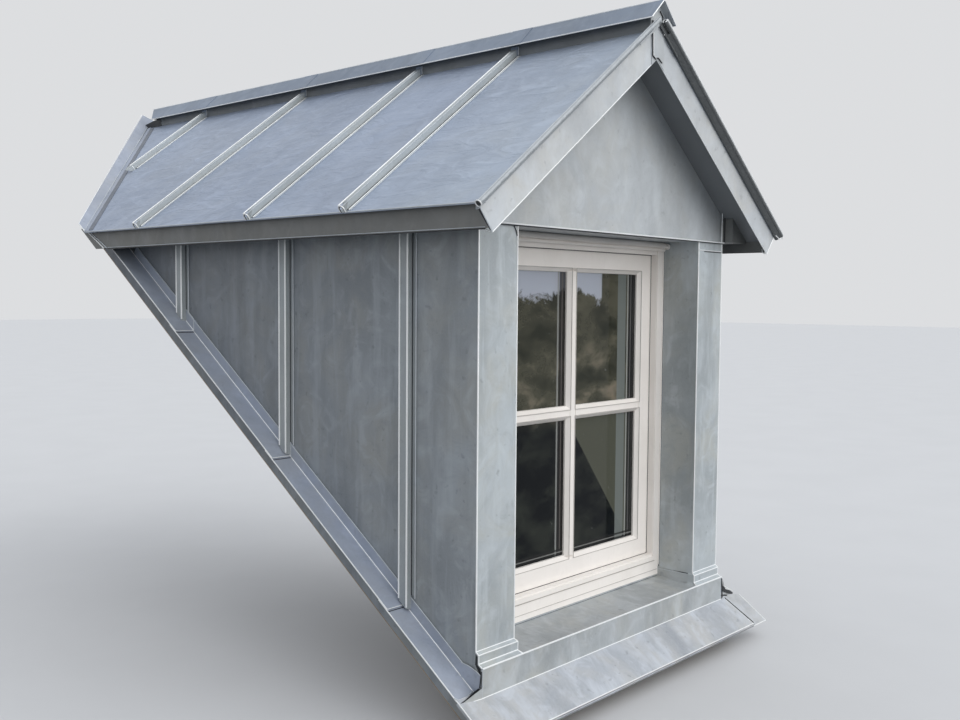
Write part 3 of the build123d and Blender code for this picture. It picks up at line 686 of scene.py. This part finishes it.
def barge_edges(side):
    """The bargeboard's lower edge, its pointed tip with the curl behind, and the edge up to the ear, with a
    painted shadow line beside it and a brighter painted highlight on the right.
    """
    apex = Vector((0, VERGE, roof_z(0, -BARGE_DROP)))
    tip = Vector((side * TIP, VERGE, roof_z(TIP, -TIP_DROP)))
    ear = Vector((side * EAR, VERGE, roof_z(EAVE)))
    front_edges.rod([apex, tip], radius=0.0011)
    ear_edges = front_edges if side > 0 else soft_lines
    ear_edges.rod([tip, ear], radius=0.0013)
    shade = [tip + Vector((side * 0.0026, 0.0022, 0.004)), ear + Vector((side * 0.0004, 0.0022, -0.004))]
    seams_and_shadows.rod(shade, radius=0.0011 if side > 0 else 0.0017)
    curl = [(0.001, 0.006, 0.001), (0.004, 0.014, 0.005), (0.003, 0.016, 0.013)]
    front_edges.rod([tip + Vector((side * x, y, z)) for x, y, z in curl], radius=0.0012)


def slope_arc(side, across, centre, reach, first, steps):
    """Points at every 30 degrees on a circle that faces the eaves; centre is (y, up)."""
    y, up = centre
    turns = [radians(first + 30 * step) for step in range(steps)]
    return [on_roof(side, across, y + reach * cos(turn), up + reach * sin(turn)) for turn in turns]


def verge_roll(side):
    """The rolled head of the verge sheet with its neck, two creases and folded end, painted lit on the left
    and shaded on the right, with a painted shadow in the left end's mouth.
    """
    foot, head = EAVE + 0.020, 0.004
    crease_head = 0.030
    neck_foot, neck_y = 0.080, VERGE - 0.0082
    neck_top = 0.0165 if side > 0 else 0.010
    roll_y, roll_up = VERGE - 0.0145, 0.0113
    rolls = shaded_rolls if side > 0 else lit_rolls
    creases = seams_and_shadows if side > 0 else soft_lines
    neck = [(neck_foot, -0.004), (head, -0.004), (head, neck_top), (neck_foot, neck_top)]
    rolls.plate([on_roof(side, across, neck_y, up) for across, up in neck], (0, 0.0012, 0))
    rolls.on_slope(side, (neck_foot - 0.005, head), roll_y, roll_up, radius=0.0045, sides=10)
    creases.on_slope(side, (foot, crease_head), VERGE - 0.0072, 0.0008, radius=0.0012)
    creases.on_slope(side, (EAVE, crease_head), VERGE + 0.0005, 0.0012, radius=0.0011)
    if side > 0:
        edge_y, edge_up = VERGE - 0.0188, 0.0150
        roof_edges.on_slope(side, (foot, head), edge_y, edge_up, radius=0.0025, sides=8)
        roof_edges.rod(slope_arc(side, head, (roll_y, roll_up), 0.0052, -60, 11), radius=0.0013)
        hook = [(foot, edge_y, edge_up), (foot + 0.004, edge_y + 0.0018, 0.0060)]
        hook += [(foot - 0.002, VERGE - 0.0120, 0.0005), (foot - 0.014, VERGE - 0.0080, 0.0)]
        roof_edges.rod([on_roof(side, *point) for point in hook], radius=0.0014)
    else:
        end = (VERGE - 0.0132, 0.0108)
        soft_lines.on_slope(side, (foot, head), VERGE - 0.0117, 0.0149, radius=0.0014)
        roof_edges.rod(slope_arc(side, foot + 0.0012, end, 0.0072, -70, 11), radius=0.0013)
        seams_and_shadows.plate(slope_arc(side, foot + 0.0002, end, 0.0056, 0, 12), (side * 0.0006, 0, -0.0004))


def verge_lines(side):
    barge_edges(side)
    verge_roll(side)


# Eaves


def eave_lines(side):
    """The sheet's hem at the eaves, the fascia's drip with a painted shadow line under it, and the folds of
    the box's rear end.
    """
    hem, fascia = side * EAVE, side * FASCIA
    near = VERGE + 0.008
    eave_end = main_y(roof_z(EAVE), TILES)
    fascia_end = main_y(FASCIA_FOOT, TILES + 0.008)
    soft_lines.receding(hem, roof_z(EAVE) - 0.0012, near, eave_end, radius=0.0016)
    seams_and_shadows.receding(fascia + side * 0.0008, FASCIA_FOOT - 0.001, near, fascia_end, radius=0.0012)
    soft_lines.receding(fascia + side * 0.0004, FASCIA_FOOT + 0.0025, near, fascia_end, radius=0.0009)
    foot = Vector((fascia + side * 0.0006, fascia_end + 0.004, FASCIA_FOOT + 0.001))
    head = Vector((fascia + side * 0.0006, eave_end + 0.004, roof_z(EAVE) - 0.002))
    roof_edges.rod([foot, head], radius=0.0018)
    soft_lines.rod([foot - Vector((0, 0.018, 0)), head - Vector((0, 0.012, 0))], radius=0.0014)


# Sill cover and the collars at the foot of the posts


def sill_edges():
    front_edges.crossing(-HALF, HALF, NOSE - 0.0004, SILL - 0.0006, radius=0.0021)
    front_edges.crossing(-HALF - 0.001, HALF + 0.001, NOSE - 0.0006, FOOT + 0.0005, radius=0.0013)


def collar_lines(side):
    """The collar's level folds, its stepped outline at both ends and a painted shadow in the gap beside it.
    """
    inner = REVEAL - 0.004
    soft_lines.upright(side * HALF, NOSE, FOOT, SILL, radius=0.0009)
    front_edges.crossing(side * HALF, side * REVEAL, -0.0005, COLLAR_HEAD, radius=0.0014)
    for z in (COLLAR_BAND_HEAD, COLLAR_BAND_FOOT + 0.0005):
        front_edges.crossing(side * HALF, side * inner, -COLLAR_PROUD, z, radius=0.0015)
    for head_x, band_x, foot_x in ((HALF, HALF, HALF), (REVEAL, inner, REVEAL - 0.009)):
        steps = [
            (side * head_x, 0, COLLAR_HEAD),
            (side * band_x, -COLLAR_PROUD, COLLAR_BAND_HEAD),
            (side * band_x, -COLLAR_PROUD, COLLAR_BAND_FOOT),
            (side * foot_x, -COLLAR_REACH, SILL),
        ]
        front_edges.rod(steps, radius=0.0014)
    gap = [(0.0, 0.027), (-0.005, 0.022), (-0.005, 0.005), (-0.014, -0.002), (-0.014, -0.016), (0.001, 0.004)]
    seams_and_shadows.plate([(side * (HALF + 0.0004), y, SILL + up) for y, up in gap], (side * 0.0005, 0, 0))


def sill_upstand():
    """The sill's upstand along the reveals and under the window frame."""
    back, front = FRAME_FRONT - 0.002, 0.004
    for side in (-1, 1):
        x = side * (REVEAL - 0.0012)
        soft_lines.receding(x, SILL + 0.0250, back, front, radius=0.0012)
        seams_and_shadows.receding(x, SILL + 0.0272, back, front, radius=0.0009)
    gap, fold = REVEAL - 0.007, REVEAL - 0.005
    seams_and_shadows.crossing(-gap, gap, FRAME_FRONT - 0.0010, FRAME_FOOT, radius=0.0014)
    soft_lines.crossing(-fold, fold, FRAME_FRONT - 0.0040, FRAME_FOOT - 0.0035, radius=0.0013)


# Flashings and apron


def flashing_lines(side):
    """In each length the bright fold, the upstand's edge, the wing's edge and the lap at its foot."""
    fold = side * (HALF + SHEET)
    wing = side * (HALF + SHEET + FLASHING_WING)
    starts = (0.0, *LAPS)
    ends = (*(start + LAP for start in LAPS), FLASHING_END)
    for index, (start, end) in enumerate(zip(starts, ends)):
        begin, finish = start / MAIN_COS, end / MAIN_COS
        top = TILES + SHEET * (index + 1)
        upstand = TILES + FLASHING_UPSTAND + SHEET * index
        flashing_edges.on_main([(fold, begin), (fold, finish)], top, radius=0.0014)
        soft_lines.on_main([(fold, begin), (fold, finish)], upstand, radius=0.0012)
        flashing_edges.on_main([(wing, begin), (wing, finish)], top - 0.001, radius=0.0015)
        flashing_edges.on_main([(fold, begin), (wing, begin)], top, radius=0.0013)
        if index:
            below = begin - 0.0035
            soft_lines.rod([on_main(fold, begin, upstand), on_main(fold, begin, top)], radius=0.0012)
            seams_and_shadows.on_main([(fold, below), (wing, below)], top - 0.002, radius=0.0011)


def flashing_end(side):
    """The lower end: the wing's curled lip over a painted shadow in the gap under it, and the upstand beside
    the sill's fascia.
    """
    beside = 0.004
    top = TILES + SHEET
    curl = [(beside, 0.0050), (0.0500, -0.0090), (0.0590, 0.0060)]
    lip = [(side * (HALF + out), along) for out, along in curl]
    lip_edges = flashing_edges if side > 0 else soft_lines
    lip_edges.on_main(lip, top + 0.0022, radius=0.0012)
    seams_and_shadows.on_main([(x, along - 0.0045) for x, along in lip[:2]], top + 0.0002, radius=0.0019)
    head = [(0.0375, 0.0641), (0.0181, 0.0620), (-0.0058, 0.0552), (-0.0175, 0.0485)]
    foot = [(-0.0160, 0.0226), (-0.0062, 0.0160), (0.0375, 0.0340)]
    flashing_ends.plate([at_corner(side, beside, y, up) for y, up in head + foot], (-side * 0.0006, 0, 0))
    soft_lines.rod([at_corner(side, beside, y, up) for y, up in head], radius=0.0010)
    front = [(-0.0193, 0.0578), (-0.0180, 0.0460), (-0.0150, 0.0226)]
    seams_and_shadows.rod([at_corner(side, beside, y, up) for y, up in front], radius=0.0014)


def open_corner_right():
    """The open corner between the sill's fascia, the flashing and the apron on the right, its shade painted
    as dark rods and plates.
    """
    side_gap = [(0.0080, -0.0170, 0.0560), (0.0095, -0.0185, 0.0035)]
    seams_and_shadows.rod([at_corner(1, *point) for point in side_gap], radius=0.0020)
    rim = [(0.0155, -0.0120, 0.0595), (0.0260, -0.0120, 0.0320), (0.0900, -0.0080, 0.0020)]
    flashing_edges.rod([at_corner(1, *point) for point in rim], radius=0.0014)
    upper = [(0.0170, 0.0500), (0.0230, 0.0485), (0.0327, 0.0297), (0.0406, 0.0187), (0.0678, 0.0094)]
    lower = [(0.0850, -0.0015), (0.0783, -0.0030), (0.0532, 0.0039), (0.0311, 0.0120), (0.0170, 0.0180)]
    seams_and_shadows.plate([at_corner(1, out, -0.0120, up) for out, up in upper + lower], (0, 0.0008, 0))
    end_gap = [(0.0060, -0.0195, 0.0209), (0.0070, -0.0195, 0.0023)]
    seams_and_shadows.rod([at_corner(1, *point) for point in end_gap], radius=0.0014)


def turned_end_left():
    """The sill fascia's turned end on the left, with painted shade in the gap between it and the wing."""
    foot = [at_corner(-1, -0.0005, -0.0195, 0.0004), at_corner(-1, 0.0625, -0.0125, 0.0005)]
    sill_flap.plate([*foot, at_corner(-1, -0.0005, -0.0195, 0.0225)], (0, 0.0008, 0))
    flashing_edges.rod(foot, radius=0.0012)
    gap = [(0.0011, 0.0010), (0.0011, 0.0223), (0.0186, 0.0179)]
    gap += [(0.0428, 0.0085), (0.0610, 0.0045), (0.0610, 0.0)]
    seams_and_shadows.plate([at_corner(-1, out, -0.0125, up) for out, up in gap], (0, 0.0008, 0))


def apron_lines():
    """The apron's lower lip, its side edges and a painted shadow line in the gap before the strip at its
    right end.
    """
    top = NOSE / MAIN_COS
    low = top - APRON_SLOPE
    head = APRON_RIGHT - 0.016
    lip, strip = 0.0875, 0.0815
    flashing_edges.on_main([(APRON_LEFT, low), (APRON_RIGHT, low)], lip, radius=0.0017)
    flashing_edges.on_main([(APRON_LEFT, low), (APRON_LEFT, -0.005)], lip, radius=0.0014)
    flashing_edges.on_main([(APRON_RIGHT, low), (head, top)], lip, radius=0.0009)
    flashing_edges.on_main([(APRON_RIGHT, low), (APRON_END, low)], strip, radius=0.0014)
    flashing_edges.on_main([(APRON_END, low), (APRON_END, top)], strip, radius=0.0013)
    seam = [(APRON_RIGHT + 0.0035, low + 0.002), (head + 0.0035, top)]
    seams_and_shadows.on_main(seam, lip - 0.0007, radius=0.0026)


# Battens


def roof_batten(side, place):
    """A batten cover's flanges, its bright edges, the open seam along its near side painted as a shadow line,
    and its curled foot with painted shadow in its mouth.
    """
    near, far = place - BATTEN_HALF, place + BATTEN_HALF
    valley_foot = (RIDGE - main_z(place, TILES + VALLEY_TURN + BATTEN_GAP)) / ROOF_TAN
    low = min(EAVE + 0.001, valley_foot)
    foot, high = low - 0.004, 0.030
    roof_edges.on_slope(side, (low, high), far - 0.001, BATTEN_RISE, radius=0.0016)
    soft_lines.on_slope(side, (low, high), near + 0.0004, BATTEN_RISE - 0.0004, radius=0.0008)
    for inner, outer in ((near, near - 0.011), (far, far + 0.006)):
        flange = [(foot, inner), (high, inner), (high, outer), (foot, outer)]
        batten_covers.plate([on_roof(side, across, y, 0.0) for across, y in flange], (0, 0, 0.0016))
    roof_edges.on_slope(side, (foot, high), near - 0.0052, 0.0018, radius=0.0011)
    seams_and_shadows.on_slope(side, (foot, high), near - 0.0016, 0.0014, radius=0.0013)
    soft_lines.on_slope(side, (foot, high), near - 0.011, 0.0010, radius=0.0010)
    end = low + 0.0012
    for reach, radius, gather in ((0.0082, 0.0015, roof_edges), (0.0058, 0.0009, seams_and_shadows)):
        arch = [(place - reach, 0.0)]
        for step in range(9):
            turn = pi * step / 8
            arch.append((place - reach * cos(turn), 0.0085 + reach * 0.92 * sin(turn)))
        arch.append((place + reach, 0.0))
        gather.rod([on_roof(side, end, y, up) for y, up in arch], radius)


def cheek_batten(side, place):
    """A batten's two bright ribs, the edges of its flanges and the seams between."""
    head = roof_z(FASCIA, -0.0428)
    for gather, offset, proud, depth, radius in (
        (cheek_edges, 0.0118, 0.0158, 0.092, 0.0022),
        (soft_lines, 0.0245, 0.0018, 0.114, 0.0012),
        (seams_and_shadows, 0.0145, 0.0022, 0.114, 0.0010),
    ):
        for y in (place - offset, place + offset):
            gather.upright(side * (HALF + proud), y, main_z(y, depth), head, radius)


# Ridge


def ridge_lines(side):
    """The cap's edges, its laps over the battens and the joints in the upstand."""
    foot, head = roof_z(BAND_HALF) + 0.004, CAP_EDGE - 0.001
    roof_edges.receding(side * CAP_HALF, CAP_EDGE - 0.0012, CAP_FRONT, cap_back(CAP_EDGE), radius=0.0014)
    roof_edges.rod([(0, CAP_FRONT, CAP_TOP - 0.001), (side * CAP_HALF, CAP_FRONT, head)], radius=0.0014)
    out = cap_normal(side)
    x = side * (BAND_HALF + 0.0008)
    for place in ROOF_BATTENS:
        front, back = place - 0.034, place + 0.030
        lap = [(0, front, CAP_TOP), (side * CAP_HALF, front, CAP_EDGE)]
        lap += [(side * CAP_HALF, back, CAP_EDGE), (0, back, CAP_TOP)]
        ridge_laps.plate([Vector(point) + out * 0.0002 for point in lap], out * 0.0010)
        for y in (place - 0.011, place + 0.011):
            soft_lines.upright(x, y, foot, head, radius=0.0015)
        cover = sorted((x, x + side * 0.003))
        ridge_laps.box((cover[0], place - 0.010, foot - 0.004), (cover[1], place + 0.010, head))


def cap_normal(side):
    """Direction that points out of a slope of the ridge cap."""
    return Vector((side * CAP_RISE, 0, CAP_HALF)).normalized()


def cap_underside_light(side):
    """Painted light: a pale sheet under the cap's front, for light on its underside."""
    out = cap_normal(side)
    top, edge = 0.0005, CAP_HALF - 0.001
    corners = [(top, 0.001), (edge, 0.001), (edge, 0.075), (top, 0.011)]
    fall = CAP_RISE / CAP_HALF
    under = [Vector((side * x, CAP_FRONT + back, CAP_TOP - fall * x)) - out * 0.0022 for x, back in corners]
    cap_underside_lights.plate(under, out * -0.0008)


def cap_rear():
    """Open end under the cap at the back, and the opening between the ridge and the valley flashings, both
    dark plates of painted shadow.
    """
    top_back = cap_back(CAP_TOP) - 0.004
    edge_back = cap_back(CAP_EDGE) - 0.004
    x, z = CAP_HALF - 0.003, CAP_EDGE - 0.001
    seams_and_shadows.plate([(0.0, top_back, CAP_TOP - 0.003), (-x, edge_back, z), (x, edge_back, z)], (0, -0.001, 0))
    half = BAND_HALF + 0.0005
    opening = [(1.9550, 1.4350), (2.0420, 1.4350), (2.0640, 1.4500), (1.9970, 1.4605), (1.9550, 1.4605)]
    seams_and_shadows.plate([(-half, y, FOOT + up) for y, up in opening], (2 * half, 0, 0))


def apex_laps():
    """The apex cover's lap line with its kink, the tab at its foot and the curl at its head."""
    face = VERGE - 0.0034
    lap = [(-0.0230, 1.4600), (-0.0208, 1.3805), (-0.0075, 1.3750)]
    tab = [(-0.0060, 1.3772), (0.0030, 1.3795), (0.0185, 1.3710)]
    curl = [(0.0068, 1.4860), (0.0180, 1.4760), (0.0225, 1.4600)]
    seams_and_shadows.rod([(x, face, FOOT + up) for x, up in lap], radius=0.0013)
    front_edges.rod([(x + 0.0026, face - 0.0002, FOOT + up + 0.0016) for x, up in lap], radius=0.0009)
    seams_and_shadows.rod([(x, face + 0.0004, FOOT + up) for x, up in tab], radius=0.0016)
    seams_and_shadows.rod([(x, face, FOOT + up) for x, up in curl], radius=0.0014)


# Valley flashings


def valley_lines(side):
    """A dark strip of painted shadow along the fold on the dormer roof, a painted shadow line beside it and
    the wing's outer edge.
    """
    low_across, high_across = EAVE - 0.004, BAND_HALF + 0.006
    near, far = 0.046, 0.003
    fold = []
    for across, back in ((low_across, near), (high_across, near), (high_across, far), (low_across, far)):
        fold.append(on_roof(side, across, main_y(roof_z(across), TILES) - back, 0.0004))
    valley_shadow_strips.plate(fold, (0, 0, 0.0008))
    low, high = main_y(roof_z(EAVE), TILES), main_y(roof_z(0), TILES)
    foot_x, head_x = side * EAVE, side * 0.004
    inner = [on_main(foot_x, low / MAIN_COS, 0.0822), on_main(head_x, high / MAIN_COS, 0.0822)]
    outer_low, outer_high = (low + VALLEY_WING_LOW) / MAIN_COS, (high + VALLEY_WING_HIGH) / MAIN_COS
    outer = [on_main(foot_x, outer_low, 0.0815), on_main(head_x, outer_high, 0.0815)]
    soft_lines.rod(inner, radius=0.0015)
    seams_and_shadows.rod([point - Vector((0, 0.0055, 0.0036)) for point in inner], radius=0.0010)
    flashing_edges.rod(outer, radius=0.0013)
    flashing_edges.rod([inner[0], outer[0]], radius=0.0016)


# Window


def glazing_bars():
    """Upright and level bars on both faces of the glass, with sloped shoulders."""
    bars = Shape()
    flat_half = 0.010
    middle = (CROSS_LOW + CROSS_HIGH) / 2
    level_scale = (CROSS_HIGH - CROSS_LOW) / 2 / BAR_HALF
    for flat, sheet, step in (
        (SASH_FRONT + 0.001, GLASS_FRONT, -0.003),
        (GLASS_BACK + 0.004, GLASS_BACK, 0.003),
    ):
        shoulder = sheet + step
        profile = [(-BAR_HALF, sheet), (-BAR_HALF, shoulder), (-flat_half, flat)]
        profile += [(flat_half, flat), (BAR_HALF, shoulder), (BAR_HALF, sheet)]
        foot = LIGHT_FOOT - 0.002
        bars.plate([(x, y, foot) for x, y in profile], (0, 0, LIGHT_HEAD - LIGHT_FOOT + 0.004))
        for side in (-1, 1):
            end = [(side * 0.012, y, middle + rise * level_scale) for rise, y in profile]
            bars.plate(end, (side * (LIGHT_HALF - 0.010), 0, 0))
    bars.piece("glazing_bars", white_paint)


def panes():
    """The four panes as (x0, x1, z0, z1)."""
    for x0, x1 in ((-LIGHT_HALF, -BAR_HALF), (BAR_HALF, LIGHT_HALF)):
        for z0, z1 in ((LIGHT_FOOT, CROSS_LOW), (CROSS_HIGH, LIGHT_HEAD)):
            yield x0, x1, z0, z1


def glass_spacers():
    spacers = Shape()
    y0, y1, width = GLASS_FRONT + 0.0045, GLASS_BACK - 0.0045, 0.005
    for x0, x1, z0, z1 in panes():
        spacers.box((x0, y0, z0), (x0 + width, y1, z1))
        spacers.box((x1 - width, y0, z0), (x1, y1, z1))
        spacers.box((x0, y0, z0), (x1, y1, z0 + width))
        spacers.box((x0, y0, z1 - width), (x1, y1, z1))
    spacers.piece("glass_spacers", spacer_dark)


def frame_mouldings():
    """The frame's raised bead, its rounded edges and the drip with a round stop at both ends."""
    trim = Shape()
    front = FRAME_FRONT - 0.003
    turns = [radians(36 * step) for step in range(10)]
    for side in (-1, 1):
        low_x, high_x = sorted((side * (SASH_HALF + 0.0015), side * BEAD_OUTER))
        trim.box((low_x, front, BEAD_FOOT), (high_x, FRAME_FRONT, BEAD_HEAD))
        edge = side * (REVEAL - 0.0015)
        trim.upright(edge, FRAME_FRONT - 0.001, FRAME_FOOT + 0.030, PEDIMENT_FOOT - 0.018, radius=0.0022)
        stile = side * (SASH_HALF - 0.0025)
        trim.upright(stile, SASH_FRONT - 0.0004, SASH_FOOT + 0.002, SASH_HEAD - 0.002, radius=0.0016)
        stop = [(edge, DRIP_Y + 0.0105 * cos(turn), DRIP_Z + 0.0085 * sin(turn)) for turn in turns]
        trim.plate(stop, (-side * 0.007, 0, 0))
    trim.box((-BEAD_OUTER, front, BEAD_FOOT - 0.011), (BEAD_OUTER, FRAME_FRONT, BEAD_FOOT))
    drip = REVEAL - 0.007
    trim.crossing(-drip, drip, FRAME_FRONT - 0.006, PEDIMENT_FOOT - 0.0205, radius=0.0052, sides=10)
    trim.piece("frame_mouldings", white_paint)


def glazing_quirks():
    """Fine grey lines of painted shade in the corners of the mouldings, round each pane and along the frame.
    """
    quirks = Shape()
    face = FRAME_FRONT - 0.0004
    for x0, x1, z0, z1 in panes():
        for reach, y in ((0.0100, SASH_FRONT + 0.0002), (0.0008, GLASS_FRONT - 0.0032)):
            left, right, low, high = x0 - reach, x1 + reach, z0 - reach, z1 + reach
            corners = [(left, y, low), (right, y, low), (right, y, high), (left, y, high)]
            for start, end in zip(corners, corners[1:] + corners[:1]):
                quirks.rod([start, end], radius=0.0009)
    bead = BEAD_OUTER + 0.001
    for side in (-1, 1):
        quirks.upright(side * bead, face, BEAD_FOOT - 0.002, BEAD_HEAD, radius=0.0010)
    quirks.crossing(-bead, bead, face, FRAME_FOOT + 0.0440, radius=0.0010)
    rail = REVEAL - 0.007
    quirks.crossing(-rail, rail, face, FRAME_FOOT + 0.0180, radius=0.0008)
    quirks.piece("glazing_quirks", quirk_paint)


def sash_seams():
    """Dark seams round the casement, beside the frame and behind the drip's stops, painted as shadow lines.
    """
    seal = Shape()
    face = SASH_FRONT - 0.0008
    for side in (-1, 1):
        seal.upright(side * (SASH_HALF + 0.0003), SASH_FRONT - 0.0010, SASH_FOOT, SASH_HEAD, radius=0.0019)
        seal.upright(side * (REVEAL - 0.0002), FRAME_FRONT - 0.0026, FRAME_FOOT, PEDIMENT_FOOT, radius=0.0011)
        seal.upright(side * (REVEAL - 0.0005), DRIP_Y, DRIP_Z + 0.006, DRIP_Z - 0.006, radius=0.0010)
    seal.crossing(-SASH_HALF, SASH_HALF, face, SASH_HEAD, radius=0.0017)
    seal.crossing(-SASH_HALF, SASH_HALF, face, SASH_FOOT, radius=0.0012)
    seal.piece("sash_seams", spacer_dark)


# The pieces, from the front to the back

both(post_lines)
pediment_drip()
both(verge_lines)

both(end_leaf)
end_leaves.piece("pediment_end_leaves", lit_leaf_zinc)

both(eave_lines)
sill_edges()
both(collar_lines)
sill_upstand()

both(flashing_lines)
both(flashing_end)
open_corner_right()
turned_end_left()
sill_flap.piece("sill_turned_end", sill_zinc)
flashing_ends.piece("flashing_upstand_ends", wing_zinc)
apron_lines()

for place in ROOF_BATTENS:
    for side in (-1, 1):
        roof_batten(side, place)
batten_covers.piece("roof_batten_flanges", batten_zinc)
for place in CHEEK_BATTENS:
    for side in (-1, 1):
        cheek_batten(side, place)

roof_edges.receding(0, CAP_TOP, CAP_FRONT, cap_back(CAP_TOP), radius=0.0018)
both(ridge_lines)
both(cap_underside_light)
cap_underside_lights.piece("ridge_cap_linings", gable_zinc)
cap_rear()
ridge_laps.piece("ridge_laps", cap_zinc)
apex_laps()

both(valley_lines)
valley_shadow_strips.piece("valley_inner_folds", valley_shadow_zinc)

front_edges.piece("front_folded_edges", bright_zinc)
roof_edges.piece("roof_folded_edges", bright_zinc)
cheek_edges.piece("cheek_batten_edges", bright_zinc)
flashing_edges.piece("flashing_folded_edges", bright_zinc)
shaded_rolls.piece("verge_roll_heads", roll_zinc)
lit_rolls.piece("verge_roll_head_left", lit_roll_zinc)
soft_lines.piece("soft_folded_lines", soft_edge)
seams_and_shadows.piece("open_seams", seam_and_shadow_dark)

glazing_bars()
glass_spacers()
frame_mouldings()
glazing_quirks()
sash_seams()


# Studio


def make_camera():
    forward = Vector((sin(YAW) * cos(PITCH), cos(YAW) * cos(PITCH), sin(PITCH)))
    right = Vector((cos(YAW), -sin(YAW), 0))
    up = right.cross(forward)
    tilted_right = right * cos(ROLL) + up * sin(ROLL)
    tilted_up = up * cos(ROLL) - right * sin(ROLL)
    data = bpy.data.cameras.new("camera")
    data.sensor_width = SENSOR_WIDTH
    data.lens = FOCAL_PIXELS / PICTURE_WIDTH * SENSOR_WIDTH
    camera = bpy.data.objects.new("camera", data)
    bpy.context.scene.collection.objects.link(camera)
    turn = Matrix((tilted_right, tilted_up, -forward)).transposed().to_4x4()
    camera.matrix_world = Matrix.Translation(EYE) @ turn
    bpy.context.scene.camera = camera


def seen_rays(tree):
    """One for the rays that show the pale background: camera, mirror and glass."""
    rays = add(tree, "ShaderNodeLightPath")
    direct = combine(tree, rays.outputs["Is Camera Ray"], rays.outputs["Is Transmission Ray"], "MAXIMUM")
    return combine(tree, direct, rays.outputs["Is Glossy Ray"], "MAXIMUM")


def make_world():
    """Soft studio dome, brighter overhead."""
    world = bpy.data.worlds.new("world")
    bpy.context.scene.world = world
    world.use_nodes = True
    tree = world.node_tree
    background = tree.nodes["Background"]
    height = parts_of(tree, coordinates(tree, "Generated"))["Z"]
    overhead = spread(tree, height, -0.15, 0.9)
    dome = blend(tree, overhead, (0.30, 0.31, 0.32), (0.98, 1.02, 1.08))
    tree.links.new(blend(tree, seen_rays(tree), dome, PALE_BACKGROUND), background.inputs["Color"])
    background.inputs["Strength"].default_value = 1.0


def make_lamp(name, energy, width, direction):
    """A broad lamp; width is the angle it fills, in degrees."""
    lamp = bpy.data.lights.new(name, "SUN")
    lamp.energy = energy
    lamp.angle = radians(width)
    lamp.color = (1.0, 0.985, 0.96)
    holder = bpy.data.objects.new(name, lamp)
    bpy.context.scene.collection.objects.link(holder)
    holder.rotation_euler = Vector(direction).to_track_quat("Z", "Y").to_euler()


def make_floor():
    """Pale floor that keeps the object's shadow and bounces little light under it."""
    material, tree, shader = new_material("floor")
    grain = noise(tree, coordinates(tree), scale=3.0, detail=3.0)
    pale = blend(tree, grain, (0.55, 0.555, 0.565), (0.59, 0.595, 0.605))
    tree.links.new(blend(tree, seen_rays(tree), (0.16, 0.165, 0.17), pale), shader.inputs["Base Color"])
    shader.inputs["Roughness"].default_value = 0.9
    data = bpy.data.meshes.new("floor")
    reach = 40
    height = cad_box[0][2] - 0.002
    corners = [(x * reach, y * reach, height) for x, y in ((-1, -1), (1, -1), (1, 1), (-1, 1))]
    data.from_pydata(corners, [], [(0, 1, 2, 3)])
    floor = bpy.data.objects.new("floor", data)
    bpy.context.scene.collection.objects.link(floor)
    data.materials.append(material)


make_floor()
make_camera()
make_world()
make_lamp("front_lamp", 1.95, 80, (0.05, -1.0, 0.55))
make_lamp("low_fill", 0.42, 60, (-0.75, -1.0, -0.32))
bpy.context.scene.view_settings.view_transform = "Standard"
